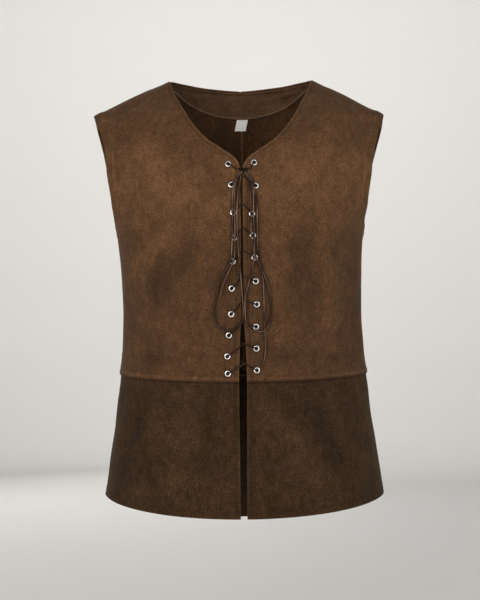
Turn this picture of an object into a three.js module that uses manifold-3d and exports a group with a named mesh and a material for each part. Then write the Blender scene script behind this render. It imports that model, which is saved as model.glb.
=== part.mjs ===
// Medieval jerkin-style vest: a sleeveless suede bodice with a skirt, laced at the front.
// Millimetres, +Z up, front towards -Y. The origin is midway between the two neck points of
// the shoulder seams, where a wearer's shoulders carry the garment.

import * as THREE from 'three';
import { mergeVertices } from 'three/addons/utils/BufferGeometryUtils.js';
import Module from 'manifold-3d';

// ---- Driving dimensions ----

const CLOTH = 1.8; // wall of the suede
const SEAM = 0.3; // gap between neighbouring pieces
const LAP = 8; // how far the skirt tucks up inside the bodice
const LAP_GAP = 0.7; // between the inside of one layer and the curved layer behind it

const NECK_HALF = 116.5; // centre to neck point
const TIP = { across: 237.5, down: 58 }; // outer end of the shoulder seam
const UNDERARM_DOWN = 243;
const ARMHOLE_DEPTH = { front: 67, back: 60 }; // armhole's reach before and behind the shoulder line
const ARMHOLE_SLANT = 0.1; // how much fuller the scoop is above its middle
const NECK_BACK_DROP = 5.7; // back neckline's centre below the neck points
const SLIT_HALF = 1.75; // half the gap between the laced fronts
const WAIST = { side: 481.5, dip: 8.5 }; // seam's height at the side, and how far it dips at the centre
const HEM = { side: 677, dip: 23.5 };
const BACK_HEM = { side: 677, dip: 62 }; // the back hangs lower at its centre

const FACING = {
  centre: 42, // crescent's depth at the centre back
  seam: 5, // and at its two ends
  spread: 0.54, // angle over which it narrows
  wall: 1.2,
  below: 1.5, // its top edge under the neckline
  margin: 0.035, // angle that keeps its ends clear of the shoulder seams
};
const LABEL = { width: 17, length: 18, wall: 0.6, across: 2.5, skew: -3.5 };

const EYELET = {
  hole: 2.5,
  barrel: 3.0,
  flange: 5.0,
  washer: 4.4,
  plate: 0.7,
  chamfer: 0.6, // of the flange's outer edge
  standOff: SEAM + 0.1, // plates clear of the curved cloth
  sides: 8,
};
const PANEL_HOLE = EYELET.barrel + SEAM;
const DRILL_LENGTH = 12;
const LACE = { radius: 1.1, heldSides: 6, freeSides: 8, step: 7, most: 80 };
const KNOT = { across: 3, down: 159, lift: 5.2, half: [9, 4.3, 5], sides: 12, rings: 8 };

// Sections of the rounded body that the vest keeps: half-width, the reach to front and back,
// and how far its sides sway towards +X.
const SECTIONS = [
  { down: 0, half: NECK_HALF, front: 30, back: 68, sway: 0 },
  { down: 25, half: 172, front: 50, back: 87.5, sway: -2.4 },
  { down: 47, half: 215.5, front: 67, back: 100, sway: -4.2 },
  { down: TIP.down, half: TIP.across, front: 75, back: 105, sway: -3.6 },
  { down: 66, half: 240.5, front: 80, back: 107, sway: -3 },
  { down: 81, half: 243, front: 88.5, back: 112, sway: -2.6 },
  { down: 105, half: 243.5, front: 100, back: 118, sway: -3 },
  { down: 150, half: 242, front: 115.5, back: 122, sway: -4.4 },
  { down: 205, half: 222.5, front: 126.5, back: 122, sway: -4 },
  { down: UNDERARM_DOWN, half: 204, front: 130, back: 118.5, sway: -3 },
  { down: 300, half: 198.5, front: 128.8, back: 110.5, sway: -1.6 },
  { down: 375, half: 196, front: 123.5, back: 102.5, sway: -0.3 },
  { down: 440, half: 198.5, front: 118, back: 98, sway: 0.6 },
  { down: 490, half: 205, front: 117, back: 100, sway: 1 },
  { down: 560, half: 213.5, front: 125, back: 110, sway: 1.1 },
  { down: 625, half: 223.5, front: 133.5, back: 119.5, sway: 1.3 },
  { down: 760, half: 242, front: 147, back: 135.8, sway: 1.8 },
];
const SQUARENESS = 0.03; // how far a section is squarer than an ellipse

// Front neckline, from the slit up to the neck point.
const NECKLINE = [
  { across: SLIT_HALF, down: 156 },
  { across: 3.6, down: 148 },
  { across: 8, down: 140 },
  { across: 16, down: 132.5 },
  { across: 33, down: 121 },
  { across: 53, down: 106.8 },
  { across: 69.6, down: 89 },
  { across: 82.2, down: 71.5 },
  { across: 96, down: 46.3 },
  { across: 107.6, down: 24.5 },
  { across: NECK_HALF, down: 0 },
];

// Half-width of the gap between the fronts, which opens below the lacing.
const SLIT = [
  { down: 156, half: SLIT_HALF },
  { down: 395, half: SLIT_HALF },
  { down: 445, half: 3.4 },
  { down: 490, half: 6.2 },
  { down: 600, half: 5.6 },
  { down: 720, half: 5.0 },
];

// Largest folds: a soft ridge (+) or trough (-) along a line from one end to the other.
// Angles are in degrees round the body from the front's centre, + towards +X.
const FOLDS = [
  { angle1: -34, down1: 105, angle2: -22, down2: 215, width: 20, rise: 2.2 },
  { angle1: -24, down1: 95, angle2: -12, down2: 190, width: 18, rise: -1.8 },
  { angle1: -15, down1: 262, angle2: -46, down2: 372, width: 18, rise: -3.0 },
  { angle1: -28, down1: 255, angle2: -62, down2: 330, width: 18, rise: 2.4 },
  { angle1: -30, down1: 455, angle2: -58, down2: 447, width: 8, rise: -2.2 },
  { angle1: 32, down1: 85, angle2: 15, down2: 205, width: 20, rise: 2.2 },
  { angle1: 24, down1: 235, angle2: 29, down2: 420, width: 22, rise: -2.6 },
  { angle1: 14, down1: 230, angle2: 15, down2: 440, width: 18, rise: 1.6 },
  { angle1: 38, down1: 260, angle2: 43, down2: 450, width: 16, rise: 2.0 },
  { angle1: 8, down1: 500, angle2: 30, down2: 676, width: 18, rise: 2.2 },
  { angle1: 24, down1: 500, angle2: 45, down2: 650, width: 18, rise: -2.6 },
  { angle1: -24, down1: 505, angle2: -27, down2: 680, width: 20, rise: 1.8 },
  { angle1: -48, down1: 500, angle2: -58, down2: 672, width: 20, rise: -2.6 },
  { angle1: 62, down1: 500, angle2: 70, down2: 670, width: 20, rise: 2.0 },
  { angle1: 150, down1: 120, angle2: 138, down2: 235, width: 22, rise: -2.6 },
  { angle1: -146, down1: 110, angle2: -134, down2: 225, width: 22, rise: -2.2 },
  { angle1: 128, down1: 300, angle2: 152, down2: 430, width: 20, rise: 2.2 },
  { angle1: -124, down1: 320, angle2: -150, down2: 445, width: 20, rise: -2.4 },
  { angle1: 160, down1: 498, angle2: 152, down2: 675, width: 22, rise: -2.8 },
  { angle1: -168, down1: 500, angle2: -162, down2: 680, width: 22, rise: 2.4 },
  { angle1: -130, down1: 500, angle2: -120, down2: 668, width: 20, rise: -2.4 },
];

// Eyelets from the top, for the side at -X and the side at +X.
const EYELETS = [
  { left: [20.5, 148], right: [20, 146] },
  { left: [16, 181], right: [22, 183] },
  { left: [13.2, 225], right: [16.2, 227] },
  { left: [11.2, 264], right: [17.2, 261] },
  { left: [14.8, 301], right: [19.4, 295] },
  { left: [16.6, 343], right: [21, 332] },
  { left: [17.6, 383], right: [22.4, 368] },
  { left: [21.6, 416], right: [20.9, 403] },
  { left: [24.2, 449], right: [21.3, 437] },
  { left: [23.7, 476], right: [21.7, 471] },
];

// Lace that hangs free: each point is [x, down, lift off the cloth].
const FREE_LACE = {
  bow_loop_left: [
    [-3, 165, 5.6], [-12, 185, 5.6], [-14, 226, 5.6], [-15, 267, 5.6], [-18, 300, 5.6],
    [-25, 314, 5.6], [-33, 324, 5.6], [-39, 348, 5.2], [-44, 379, 5.0], [-40, 399, 4.8],
    [-27, 408, 5.0], [-15, 407, 5.2], [-4, 398, 5.6], [1, 385, 5.6], [0, 358, 5.6],
    [-3, 314, 5.6], [-6.5, 267, 5.6], [-7, 213, 5.6], [-1, 169.5, 5.6],
  ],
  bow_loop_right: [
    [8, 165, 5.6], [17, 184, 5.6], [18, 226, 5.6], [19, 267, 5.6], [18.5, 296, 5.6],
    [14.5, 314, 5.6], [9.5, 336, 5.6], [4.2, 359, 5.6], [4.2, 380, 5.4], [5.5, 395, 5.2],
    [11, 406, 5.2], [22, 410, 5.2], [34, 408, 5.0], [42, 394, 5.0], [44.5, 373, 5.2],
    [42.5, 355, 5.4], [37.5, 332, 5.6], [30, 313, 5.6], [25, 292, 5.6], [23.8, 252, 5.6],
    [22.5, 206, 5.6], [12.6, 167, 5.6],
  ],
  lace_end_left: [
    [0.5, 163.8, 8.6], [-6.5, 174, 8.6], [-10.5, 192, 8.4], [-10.5, 226, 8.4], [-10.8, 267, 8.2],
    [-12.5, 297, 8.2], [-20.5, 316, 8.2], [-29, 336, 7.0], [-34, 355, 5.0],
  ],
  lace_end_right: [
    [5.5, 163.8, 8.6], [10, 174, 8.6], [13, 194, 8.4], [14, 236, 8.4], [15, 273, 8.2], [20, 292, 8.2],
    [27, 306, 8.4], [31, 325, 8.4], [32.5, 346, 8.2], [33, 375, 8.2], [33.5, 408, 8.4],
    [34.5, 424, 6.6], [35, 440, 4.8], [33, 454, 4.4], [31, 462, 4.2],
  ],
};

// Colours of the finished pieces.
const SUEDE = 0x5a3f2d;
const SKIRT_SUEDE = 0x432f20;
const FACING_SUEDE = 0x413023;
const CORD_BROWN = 0x33231b;
const SILVER = 0xd6d7d8;
const SATIN_WHITE = 0xe5e7e6;

const wasm = await Module();
wasm.setup();

const vest = new THREE.Group();

// ---- Helpers ----

/** Smooth value between the rows of a table, by monotone cubic steps along `down`. */
function between(table, down, column) {
  const last = table.length - 1;
  const slope = (i) =>
    (table[i + 1][column] - table[i][column]) / (table[i + 1].down - table[i].down);
  const tangent = (i) => {
    if (i === 0) return slope(0);
    if (i === last) return slope(last - 1);
    const [before, after] = [slope(i - 1), slope(i)];
    return before * after > 0 ? (2 * before * after) / (before + after) : 0;
  };
  let i = 0;
  while (i < last - 1 && down > table[i + 1].down) i += 1;
  const gap = table[i + 1].down - table[i].down;
  const t = (down - table[i].down) / gap;
  return (
    (1 + 2 * t) * (1 - t) ** 2 * table[i][column] +
    t * (1 - t) ** 2 * gap * tangent(i) +
    t * t * (3 - 2 * t) * table[i + 1][column] +
    t * t * (t - 1) * gap * tangent(i + 1)
  );
}

/** Point of the smooth body at an angle round it, + towards +X, and a distance down. */
function bodyPoint(angle, down) {
  const half = between(SECTIONS, down, 'half');
  const widest = 1 - SQUARENESS;
  const along = (Math.cos(angle) - SQUARENESS * Math.cos(3 * angle)) / widest;
  const reach = between(SECTIONS, down, along >= 0 ? 'front' : 'back');
  const across = (half * (Math.sin(angle) + SQUARENESS * Math.sin(3 * angle))) / widest;
  const sway = between(SECTIONS, down, 'sway') * Math.sin(angle) ** 2;
  return new THREE.Vector3(across + sway, -reach * along, -down);
}

/** Outward normal of the smooth body, from two short steps on it. */
function bodyNormal(angle, down) {
  const turn = 0.002;
  const drop = 0.4;
  const low = Math.max(down - drop, 0);
  const round = bodyPoint(angle + turn, down).sub(bodyPoint(angle - turn, down));
  const fall = bodyPoint(angle, low + 2 * drop).sub(bodyPoint(angle, low));
  return fall.cross(round).normalize();
}

/** Height of all folds at a place: bell-shaped across each fold's line, fading at its ends. */
function foldRise(angle, down) {
  const arc = 150; // mean radius that turns an angle into a distance
  let rise = 0;
  for (const fold of FOLDS) {
    const start = new THREE.Vector2(THREE.MathUtils.degToRad(fold.angle1) * arc, fold.down1);
    const end = new THREE.Vector2(THREE.MathUtils.degToRad(fold.angle2) * arc, fold.down2);
    const line = end.clone().sub(start);
    const here = new THREE.Vector2(angle * arc, down).sub(start);
    const t = here.dot(line) / line.lengthSq();
    const off = Math.abs(here.cross(line)) / line.length();
    const fade = THREE.MathUtils.smoothstep(1.2 - Math.abs(2 * t - 1), 0, 0.8);
    rise += fold.rise * fade * Math.exp(-((off / fold.width) ** 2));
  }
  return rise;
}

/** Point of the worn cloth, `lift` mm outside its outer face. */
function clothPoint(angle, down, lift = 0) {
  const wrapped = Math.atan2(Math.sin(angle), Math.cos(angle));
  const normal = bodyNormal(angle, down);
  return bodyPoint(angle, down).addScaledVector(normal, foldRise(wrapped, down) + lift);
}

/** Angle at which the body's front reaches a distance across, by Newton's steps. */
function angleAcross(across, down) {
  const want = (across * (1 - SQUARENESS)) / between(SECTIONS, down, 'half');
  let sine = want;
  for (let step = 0; step < 12; step += 1) {
    const miss = sine + SQUARENESS * (3 * sine - 4 * sine ** 3) - want;
    sine -= miss / (1 + 3 * SQUARENESS - 12 * SQUARENESS * sine ** 2);
    sine = THREE.MathUtils.clamp(sine, -1, 1);
  }
  return Math.asin(sine);
}

/** Angle away from the side line (front or back) at which the body lies `depth` from it. */
function angleFromSide(depth, down, face) {
  const want = (depth * (1 - SQUARENESS)) / between(SECTIONS, down, face);
  let q = want;
  for (let step = 0; step < 12; step += 1) {
    const miss = q * (1 + 3 * SQUARENESS) - 4 * SQUARENESS * q ** 3 - want;
    q -= miss / (1 + 3 * SQUARENESS - 12 * SQUARENESS * q ** 2);
  }
  return Math.asin(THREE.MathUtils.clamp(q, -1, 1));
}

/** Waist and hem: a line that dips from the sides to the centres. */
const dipping = (line, angle) => line.side + line.dip * Math.cos(angle) ** 2;

/** Closed solid from points, faces and, if they point inwards, a turn of every face. */
function closedGeometry(points, faces) {
  let volume = 0;
  for (const [a, b, c] of faces) {
    volume += points[a].dot(new THREE.Vector3().crossVectors(points[b], points[c]));
  }
  const ordered = volume < 0 ? faces.map(([a, b, c]) => [a, c, b]) : faces;
  const geometry = new THREE.BufferGeometry();
  const flat = points.flatMap((point) => point.toArray());
  geometry.setAttribute('position', new THREE.Float32BufferAttribute(flat, 3));
  geometry.setIndex(ordered.flat());
  return geometry;
}

/** Cloth wall over a grid of [angle, down] places: outer face, inner face and four edges. */
function wall(grid, lift = 0, thickness = CLOTH) {
  const rows = grid.length;
  const columns = grid[0].length;
  const faces = [];
  const quad = (a, b, c, d) => faces.push([a, b, c], [a, c, d]);
  const points = [lift, lift - thickness].flatMap((level) =>
    grid.flatMap((row) => row.map(([angle, down]) => clothPoint(angle, down, level))),
  );
  const outer = (row, column) => row * columns + column;
  const inner = (row, column) => rows * columns + outer(row, column);
  for (let row = 0; row < rows - 1; row += 1) {
    for (let column = 0; column < columns - 1; column += 1) {
      const [a, b] = [[row, column], [row, column + 1]];
      const [c, d] = [[row + 1, column + 1], [row + 1, column]];
      quad(outer(...a), outer(...b), outer(...c), outer(...d));
      quad(inner(...d), inner(...c), inner(...b), inner(...a));
    }
  }
  const rim = [
    ...Array.from({ length: columns }, (_, i) => [0, i]),
    ...Array.from({ length: rows - 1 }, (_, i) => [i + 1, columns - 1]),
    ...Array.from({ length: columns - 1 }, (_, i) => [rows - 1, columns - 2 - i]),
    ...Array.from({ length: rows - 2 }, (_, i) => [rows - 2 - i, 0]),
  ];
  rim.forEach((here, i) => {
    const next = rim[(i + 1) % rim.length];
    quad(outer(...next), outer(...here), inner(...here), inner(...next));
  });
  return closedGeometry(points, faces);
}

/**
 * Grid between four edge lines, each a function of 0..1 that gives [angle, down]. Rows run
 * from the inner to the outer edge, and the shape of the head fades quickly below it.
 */
function patch({ foot, head, inner, outer }, columns, rows) {
  const bulge = (edge, u, k) => edge(u)[k] - THREE.MathUtils.lerp(edge(0)[k], edge(1)[k], u);
  return Array.from({ length: rows + 1 }, (_, row) => {
    const v = row / rows;
    return Array.from({ length: columns + 1 }, (__, column) => {
      const u = column / columns;
      return [0, 1].map(
        (k) =>
          THREE.MathUtils.lerp(inner(v)[k], outer(v)[k], u) +
          (1 - v) * bulge(foot, u, k) +
          v ** 3 * bulge(head, u, k),
      );
    });
  });
}

/** The same grid on the other side of the body. */
const mirrored = (grid) => grid.map((row) => row.map(([angle, down]) => [-angle, down]));

/** Closed three.js geometry as a manifold-3d solid. */
function asSolid(geometry) {
  const bare = geometry.clone();
  bare.deleteAttribute('normal');
  bare.deleteAttribute('uv');
  const merged = mergeVertices(bare, 1e-4);
  const mesh = new wasm.Mesh({
    numProp: 3,
    vertProperties: new Float32Array(merged.getAttribute('position').array),
    triVerts: new Uint32Array(merged.getIndex().array),
  });
  return new wasm.Manifold(mesh);
}

/** Back from manifold-3d to a three.js geometry. */
function asGeometry(solid) {
  const mesh = solid.getMesh();
  const geometry = new THREE.BufferGeometry();
  geometry.setAttribute('position', new THREE.Float32BufferAttribute(mesh.vertProperties, 3));
  geometry.setIndex(Array.from(mesh.triVerts));
  return geometry;
}

/** Adds one named piece to the vest. */
function addPiece(name, geometry, color, roughness = 0.95, metalness = 0) {
  const material = new THREE.MeshStandardMaterial({ color, roughness, metalness });
  const piece = new THREE.Mesh(geometry, material);
  piece.name = name;
  vest.add(piece);
  return piece;
}

/** Turns and moves a piece whose axis is +Y so that it stands on the cloth there. */
function standOn(object, angle, down) {
  const normal = bodyNormal(angle, down);
  object.quaternion.setFromUnitVectors(new THREE.Vector3(0, 1, 0), normal);
  object.position.copy(clothPoint(angle, down));
}

// ---- Bodice ----

const SIDE = Math.PI / 2;
// Steps across and up a bodice half: the underarm and the neck point each fall on a step.
const COLUMNS = 15;
const ROWS = 18;
const SKIRT_ROWS = 6;
const UNDERARM_SHARE = 7 / ROWS; // share of the outer edge below the underarm
const NECK_SHARE = 9 / COLUMNS; // share of the top edge that is neckline

/** Outer edge of a bodice half: side seam, then the armhole up to the shoulder tip. */
function outerEdge(face, waistDown) {
  const sign = face === 'front' ? -1 : 1;
  const middle = (TIP.down + UNDERARM_DOWN) / 2;
  const reach = (UNDERARM_DOWN - TIP.down) / 2;
  return (t) => {
    if (t <= UNDERARM_SHARE) {
      const down = THREE.MathUtils.lerp(waistDown, UNDERARM_DOWN, t / UNDERARM_SHARE);
      return [SIDE + sign * angleFromSide(SEAM / 2, down, face), down];
    }
    const turn = (Math.PI * (1 - t)) / (1 - UNDERARM_SHARE);
    const down = middle - reach * Math.cos(turn);
    const scoop = Math.sin(turn) - ARMHOLE_SLANT * Math.sin(2 * turn);
    const depth = Math.max(ARMHOLE_DEPTH[face] * scoop, SEAM / 2);
    return [SIDE + sign * angleFromSide(depth, down, face), down];
  };
}

/** Shoulder seam from the neck point to the tip, for t from 0 to 1. */
function shoulderSeam(face, t) {
  const sign = face === 'front' ? -1 : 1;
  const down = TIP.down * t;
  return [SIDE + sign * angleFromSide(SEAM / 2, down, face), down];
}

// Front neckline as one path, so that places on it are found by length.
const necklineRoute = new THREE.CurvePath();
for (let i = 1; i < NECKLINE.length; i += 1) {
  const [from, to] = [NECKLINE[i - 1], NECKLINE[i]];
  necklineRoute.add(
    new THREE.LineCurve(
      new THREE.Vector2(from.across, from.down),
      new THREE.Vector2(to.across, to.down),
    ),
  );
}

/** Place on the front neckline, for t from 0 at the slit to 1 at the neck point. */
function necklinePlace(t) {
  const { x: across, y: down } = necklineRoute.getPoint(t);
  return [Math.min(angleAcross(across, down), shoulderSeam('front', 0)[0]), down];
}

/** Centre-front edge at a distance down. */
const slitPlace = (down) => [angleAcross(between(SLIT, down, 'half'), down), down];

function frontBodiceGrid(columns, rows) {
  const outer = outerEdge('front', WAIST.side);
  const centreDown = dipping(WAIST, 0);
  return patch(
    {
      foot: (t) => {
        const angle = THREE.MathUtils.lerp(slitPlace(centreDown)[0], outer(0)[0], t);
        return [angle, dipping(WAIST, angle)];
      },
      head: (t) =>
        t < NECK_SHARE
          ? necklinePlace(t / NECK_SHARE)
          : shoulderSeam('front', (t - NECK_SHARE) / (1 - NECK_SHARE)),
      inner: (t) => slitPlace(THREE.MathUtils.lerp(centreDown, NECKLINE[0].down, t)),
      outer,
    },
    columns,
    rows,
  );
}

/** Angle of the centre-back seam's edge on the +X half. */
const centreBack = (down) => Math.PI - SEAM / 2 / between(SECTIONS, down, 'half');

/** Back neckline from the centre back (0) to the neck point (1). */
function backNeckPlace(t) {
  const seam = shoulderSeam('back', 0)[0];
  const angle = THREE.MathUtils.lerp(centreBack(NECK_BACK_DROP), seam, t);
  return [angle, NECK_BACK_DROP * (1 - t) ** 2];
}

function backBodiceGrid(columns, rows) {
  const outer = outerEdge('back', WAIST.side);
  const centreDown = dipping(WAIST, Math.PI);
  return patch(
    {
      foot: (t) => {
        const angle = THREE.MathUtils.lerp(centreBack(centreDown), outer(0)[0], t);
        return [angle, dipping(WAIST, angle)];
      },
      head: (t) =>
        t < NECK_SHARE
          ? backNeckPlace(t / NECK_SHARE)
          : shoulderSeam('back', (t - NECK_SHARE) / (1 - NECK_SHARE)),
      inner: (t) => {
        const down = THREE.MathUtils.lerp(centreDown, NECK_BACK_DROP, t);
        return [centreBack(down), down];
      },
      outer,
    },
    columns,
    rows,
  );
}

/** Places of one side's eyelets: -1 is the side at -X. */
function eyeletPlaces(side) {
  return EYELETS.map((row) => {
    const [across, down] = side < 0 ? row.left : row.right;
    return { angle: side * angleAcross(across, down), down };
  });
}

/** Front bodice half with a round hole for each eyelet. */
function piercedFront(grid, side) {
  let solid = asSolid(wall(grid));
  for (const { angle, down } of eyeletPlaces(side)) {
    const drill = new THREE.Mesh(
      new THREE.CylinderGeometry(PANEL_HOLE, PANEL_HOLE, DRILL_LENGTH, EYELET.sides),
    );
    standOn(drill, angle, down);
    drill.updateMatrixWorld();
    solid = solid.subtract(asSolid(drill.geometry.clone().applyMatrix4(drill.matrixWorld)));
  }
  return asGeometry(solid);
}

const frontGrid = frontBodiceGrid(COLUMNS, ROWS);
addPiece('front_bodice_left', piercedFront(mirrored(frontGrid), -1), SUEDE);
addPiece('front_bodice_right', piercedFront(frontGrid, 1), SUEDE);

const backGrid = backBodiceGrid(COLUMNS, ROWS);
addPiece('back_bodice_left', wall(mirrored(backGrid)), SUEDE);
addPiece('back_bodice_right', wall(backGrid), SUEDE);

// ---- Skirt: tucked up inside the bodice and lapped by it ----

const SKIRT_LIFT = -(CLOTH + LAP_GAP);
const SKIRT_MIDDLE = 600; // height down at which the skirt's columns take their angles

function skirtGrid(startAngle, endAngle, hem, columns, rows) {
  return Array.from({ length: rows + 1 }, (_, row) =>
    Array.from({ length: columns + 1 }, (__, column) => {
      const t = column / columns;
      const middle = THREE.MathUtils.lerp(startAngle(SKIRT_MIDDLE), endAngle(SKIRT_MIDDLE), t);
      const top = dipping(WAIST, middle) - LAP;
      const down = THREE.MathUtils.lerp(dipping(hem, middle), top, row / rows);
      return [THREE.MathUtils.lerp(startAngle(down), endAngle(down), t), down];
    }),
  );
}

const frontSide = (down) => SIDE - angleFromSide(SEAM / 2, down, 'front');
const backSide = (down) => SIDE + angleFromSide(SEAM / 2, down, 'back');
const frontSkirt = skirtGrid((down) => slitPlace(down)[0], frontSide, HEM, COLUMNS, SKIRT_ROWS);
addPiece('front_skirt_left', wall(mirrored(frontSkirt), SKIRT_LIFT), SKIRT_SUEDE);
addPiece('front_skirt_right', wall(frontSkirt, SKIRT_LIFT), SKIRT_SUEDE);
const otherSide = (down) => 2 * Math.PI - backSide(down);
const backSkirt = skirtGrid(backSide, otherSide, BACK_HEM, 2 * COLUMNS, SKIRT_ROWS);
addPiece('back_skirt', wall(backSkirt, SKIRT_LIFT), SKIRT_SUEDE);

// ---- Back neck facing and the bare care label below it ----

const FACING_LIFT = -(CLOTH + LAP_GAP);

function facingGrid(columns, rows) {
  return Array.from({ length: rows + 1 }, (_, row) =>
    Array.from({ length: columns + 1 }, (__, column) => {
      const start = SIDE + FACING.margin;
      const angle = THREE.MathUtils.lerp(start, 2 * Math.PI - start, column / columns);
      const centred = 1 - Math.abs(angle - Math.PI) / SIDE;
      const top = NECK_BACK_DROP * centred ** 2 + FACING.below;
      const off = (angle - Math.PI) / FACING.spread;
      const depth = FACING.seam + (FACING.centre - FACING.seam) * Math.exp(-(off ** 2));
      return [angle, top + depth * (1 - row / rows)];
    }),
  );
}

addPiece('back_neck_facing', wall(facingGrid(24, 2), FACING_LIFT, FACING.wall), FACING_SUEDE);

/** Flat slip of ribbon that hangs from the facing's lower edge, a little askew. */
function labelGrid() {
  const top = NECK_BACK_DROP + FACING.below + FACING.centre + SEAM;
  return [0, 1].map((row) =>
    [-0.5, 0.5].map((side) => {
      const down = top + LABEL.length * (1 - row);
      const across = LABEL.across + side * LABEL.width + LABEL.skew * (1 - row);
      return [Math.PI - across / between(SECTIONS, down, 'half'), down];
    }),
  );
}

addPiece('care_label', wall(labelGrid(), FACING_LIFT, LABEL.wall), SATIN_WHITE, 0.5);

// ---- Eyelets ----

/** Metal eyelet round +Y: front flange over the cloth, barrel through it and washer behind. */
function eyeletGeometry() {
  const front = EYELET.standOff;
  const back = -(CLOTH + EYELET.standOff);
  const profile = [
    [EYELET.hole, back - EYELET.plate],
    [EYELET.washer, back - EYELET.plate],
    [EYELET.washer, back],
    [EYELET.barrel, back],
    [EYELET.barrel, front],
    [EYELET.flange, front],
    [EYELET.flange - EYELET.chamfer, front + EYELET.plate],
    [EYELET.hole, front + EYELET.plate],
    [EYELET.hole, back - EYELET.plate],
  ].map(([radius, height]) => new THREE.Vector2(radius, height));
  return new THREE.LatheGeometry(profile, EYELET.sides);
}

for (const [side, word] of [[-1, 'left'], [1, 'right']]) {
  eyeletPlaces(side).forEach(({ angle, down }, i) => {
    const name = `eyelet_${word}_${String(i + 1).padStart(2, '0')}`;
    standOn(addPiece(name, eyeletGeometry(), SILVER, 0.3, 0.9), angle, down);
  });
}

// ---- Lacing held by the eyelets ----

/**
 * Round lace through points. With `steps` it has that many equal lengths, and without it one
 * straight length from each point to the next.
 */
function laceGeometry(points, sides, steps) {
  const route = new THREE.CatmullRomCurve3(points, false, 'centripetal');
  if (!steps) {
    route.getPointAt = (t, target) => route.getPoint(t, target);
    route.getTangentAt = (t, target) => route.getTangent(t, target);
  }
  const section = new THREE.Shape(
    Array.from({ length: sides }, (_, i) => {
      const turn = (2 * Math.PI * i) / sides;
      return new THREE.Vector2(LACE.radius * Math.cos(turn), LACE.radius * Math.sin(turn));
    }),
  );
  const lengths = steps ?? points.length - 1;
  return new THREE.ExtrudeGeometry(section, { steps: lengths, extrudePath: route });
}

/** Point on the laced fronts at a distance across and down, `lift` mm off the cloth. */
const onFront = (across, down, lift) => clothPoint(angleAcross(across, down), down, lift);

// Heights of the lace's centre line off the cloth's outer face.
const OVER_FLANGE = 2.7;
const ON_CLOTH = 1.8;
const BEHIND = -4.5;
const SLIT_RISE = 13; // how far above its eyelet a lace passes through the slit
const STRAND_APART = 1.5; // half the height between the two laces in the slit
const NEAR_SLIT = { across: 3.8, share: 0.86, behind: -3.9, drop: 2 }; // just before and after it
const IN_SLIT = { across: 0.45, front: 1.3, behind: -3.1, drop: 0.4 }; // the two sides of the gap
const BOTTOM_BAR = { across: 0.8, down: 479.5 }; // where the laces meet below their lowest eyelets
const KNOT_ENTRY = { across: KNOT.half[0] + 2.2, down: KNOT.down - 1.5, lift: 4.2 };
const BEFORE_KNOT_DIP = 4; // how far the last length dips below its eyelet
const TOWARD_EYELET = 0.6; // share of the next eyelet's distance at which the lace is level

/** One lace from behind its lowest eyelet, zigzag up to the knot. `start` is the lowest side. */
function lacingPoints(start) {
  const spot = (row, side) => {
    const [across, down] = side < 0 ? EYELETS[row].left : EYELETS[row].right;
    return { across: side * across, down };
  };
  const lowest = EYELETS.length - 1;
  const points = [onFront(start * BOTTOM_BAR.across, BOTTOM_BAR.down, BEHIND)];
  let side = start;
  for (let row = lowest; row >= 0; row -= 1) {
    const here = spot(row, side);
    const slitDown = (spot(row, -1).down + spot(row, 1).down) / 2 - SLIT_RISE - side * STRAND_APART;
    const outward = (part) => THREE.MathUtils.lerp(here.across, 0, part);
    const upward = (part) => THREE.MathUtils.lerp(here.down, slitDown, part);
    points.push(onFront(here.across, here.down, BEHIND));
    points.push(onFront(here.across, here.down, -CLOTH / 2));
    points.push(onFront(here.across, here.down, OVER_FLANGE));
    if (row === 0) {
      const stop = KNOT.across + side * KNOT_ENTRY.across;
      points.push(onFront((here.across + stop) / 2, here.down + BEFORE_KNOT_DIP, OVER_FLANGE));
      points.push(onFront(stop, KNOT_ENTRY.down, KNOT_ENTRY.lift));
      break;
    }
    points.push(onFront(outward(0.5), upward(0.5), OVER_FLANGE));
    points.push(onFront(side * NEAR_SLIT.across, upward(NEAR_SLIT.share), ON_CLOTH));
    points.push(onFront(side * IN_SLIT.across, slitDown, IN_SLIT.front));
    points.push(onFront(-side * IN_SLIT.across, slitDown - IN_SLIT.drop, IN_SLIT.behind));
    const past = slitDown - NEAR_SLIT.drop;
    points.push(onFront(-side * NEAR_SLIT.across, past, NEAR_SLIT.behind));
    const next = spot(row - 1, -side);
    points.push(onFront(next.across * TOWARD_EYELET, (slitDown + next.down) / 2, BEHIND));
    side = -side;
  }
  return points;
}

addPiece('lacing_a', laceGeometry(lacingPoints(-1), LACE.heldSides), CORD_BROWN, 0.8);
addPiece('lacing_b', laceGeometry(lacingPoints(1), LACE.heldSides), CORD_BROWN, 0.8);

// ---- Bow: knot, two loops and two free ends ----

const knot = new THREE.SphereGeometry(1, KNOT.sides, KNOT.rings);
knot.scale(...KNOT.half);
addPiece('bow_knot', knot, CORD_BROWN, 0.8).position.copy(
  onFront(KNOT.across, KNOT.down, KNOT.lift),
);

for (const [name, places] of Object.entries(FREE_LACE)) {
  const points = places.map(([across, down, lift]) => onFront(across, down, lift));
  const length = new THREE.CatmullRomCurve3(points, false, 'centripetal').getLength();
  const steps = Math.min(Math.ceil(length / LACE.step), LACE.most);
  addPiece(name, laceGeometry(points, LACE.freeSides, steps), CORD_BROWN, 0.8);
}

export default vest;
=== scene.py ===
# %% [markdown]
# # A laced suede vest
#
# A sleeveless jerkin of soft brown suede: two bodice fronts laced together through metal
# eyelets, two backs, and a skirt that hangs from the waist and is open down the front. The
# solids of the part are already in place. Each cell below makes one piece or one finish that
# stands for a solid, in the same frame: metres, +Z up, front towards -Y.

# %% The fixed frame
import math

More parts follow.
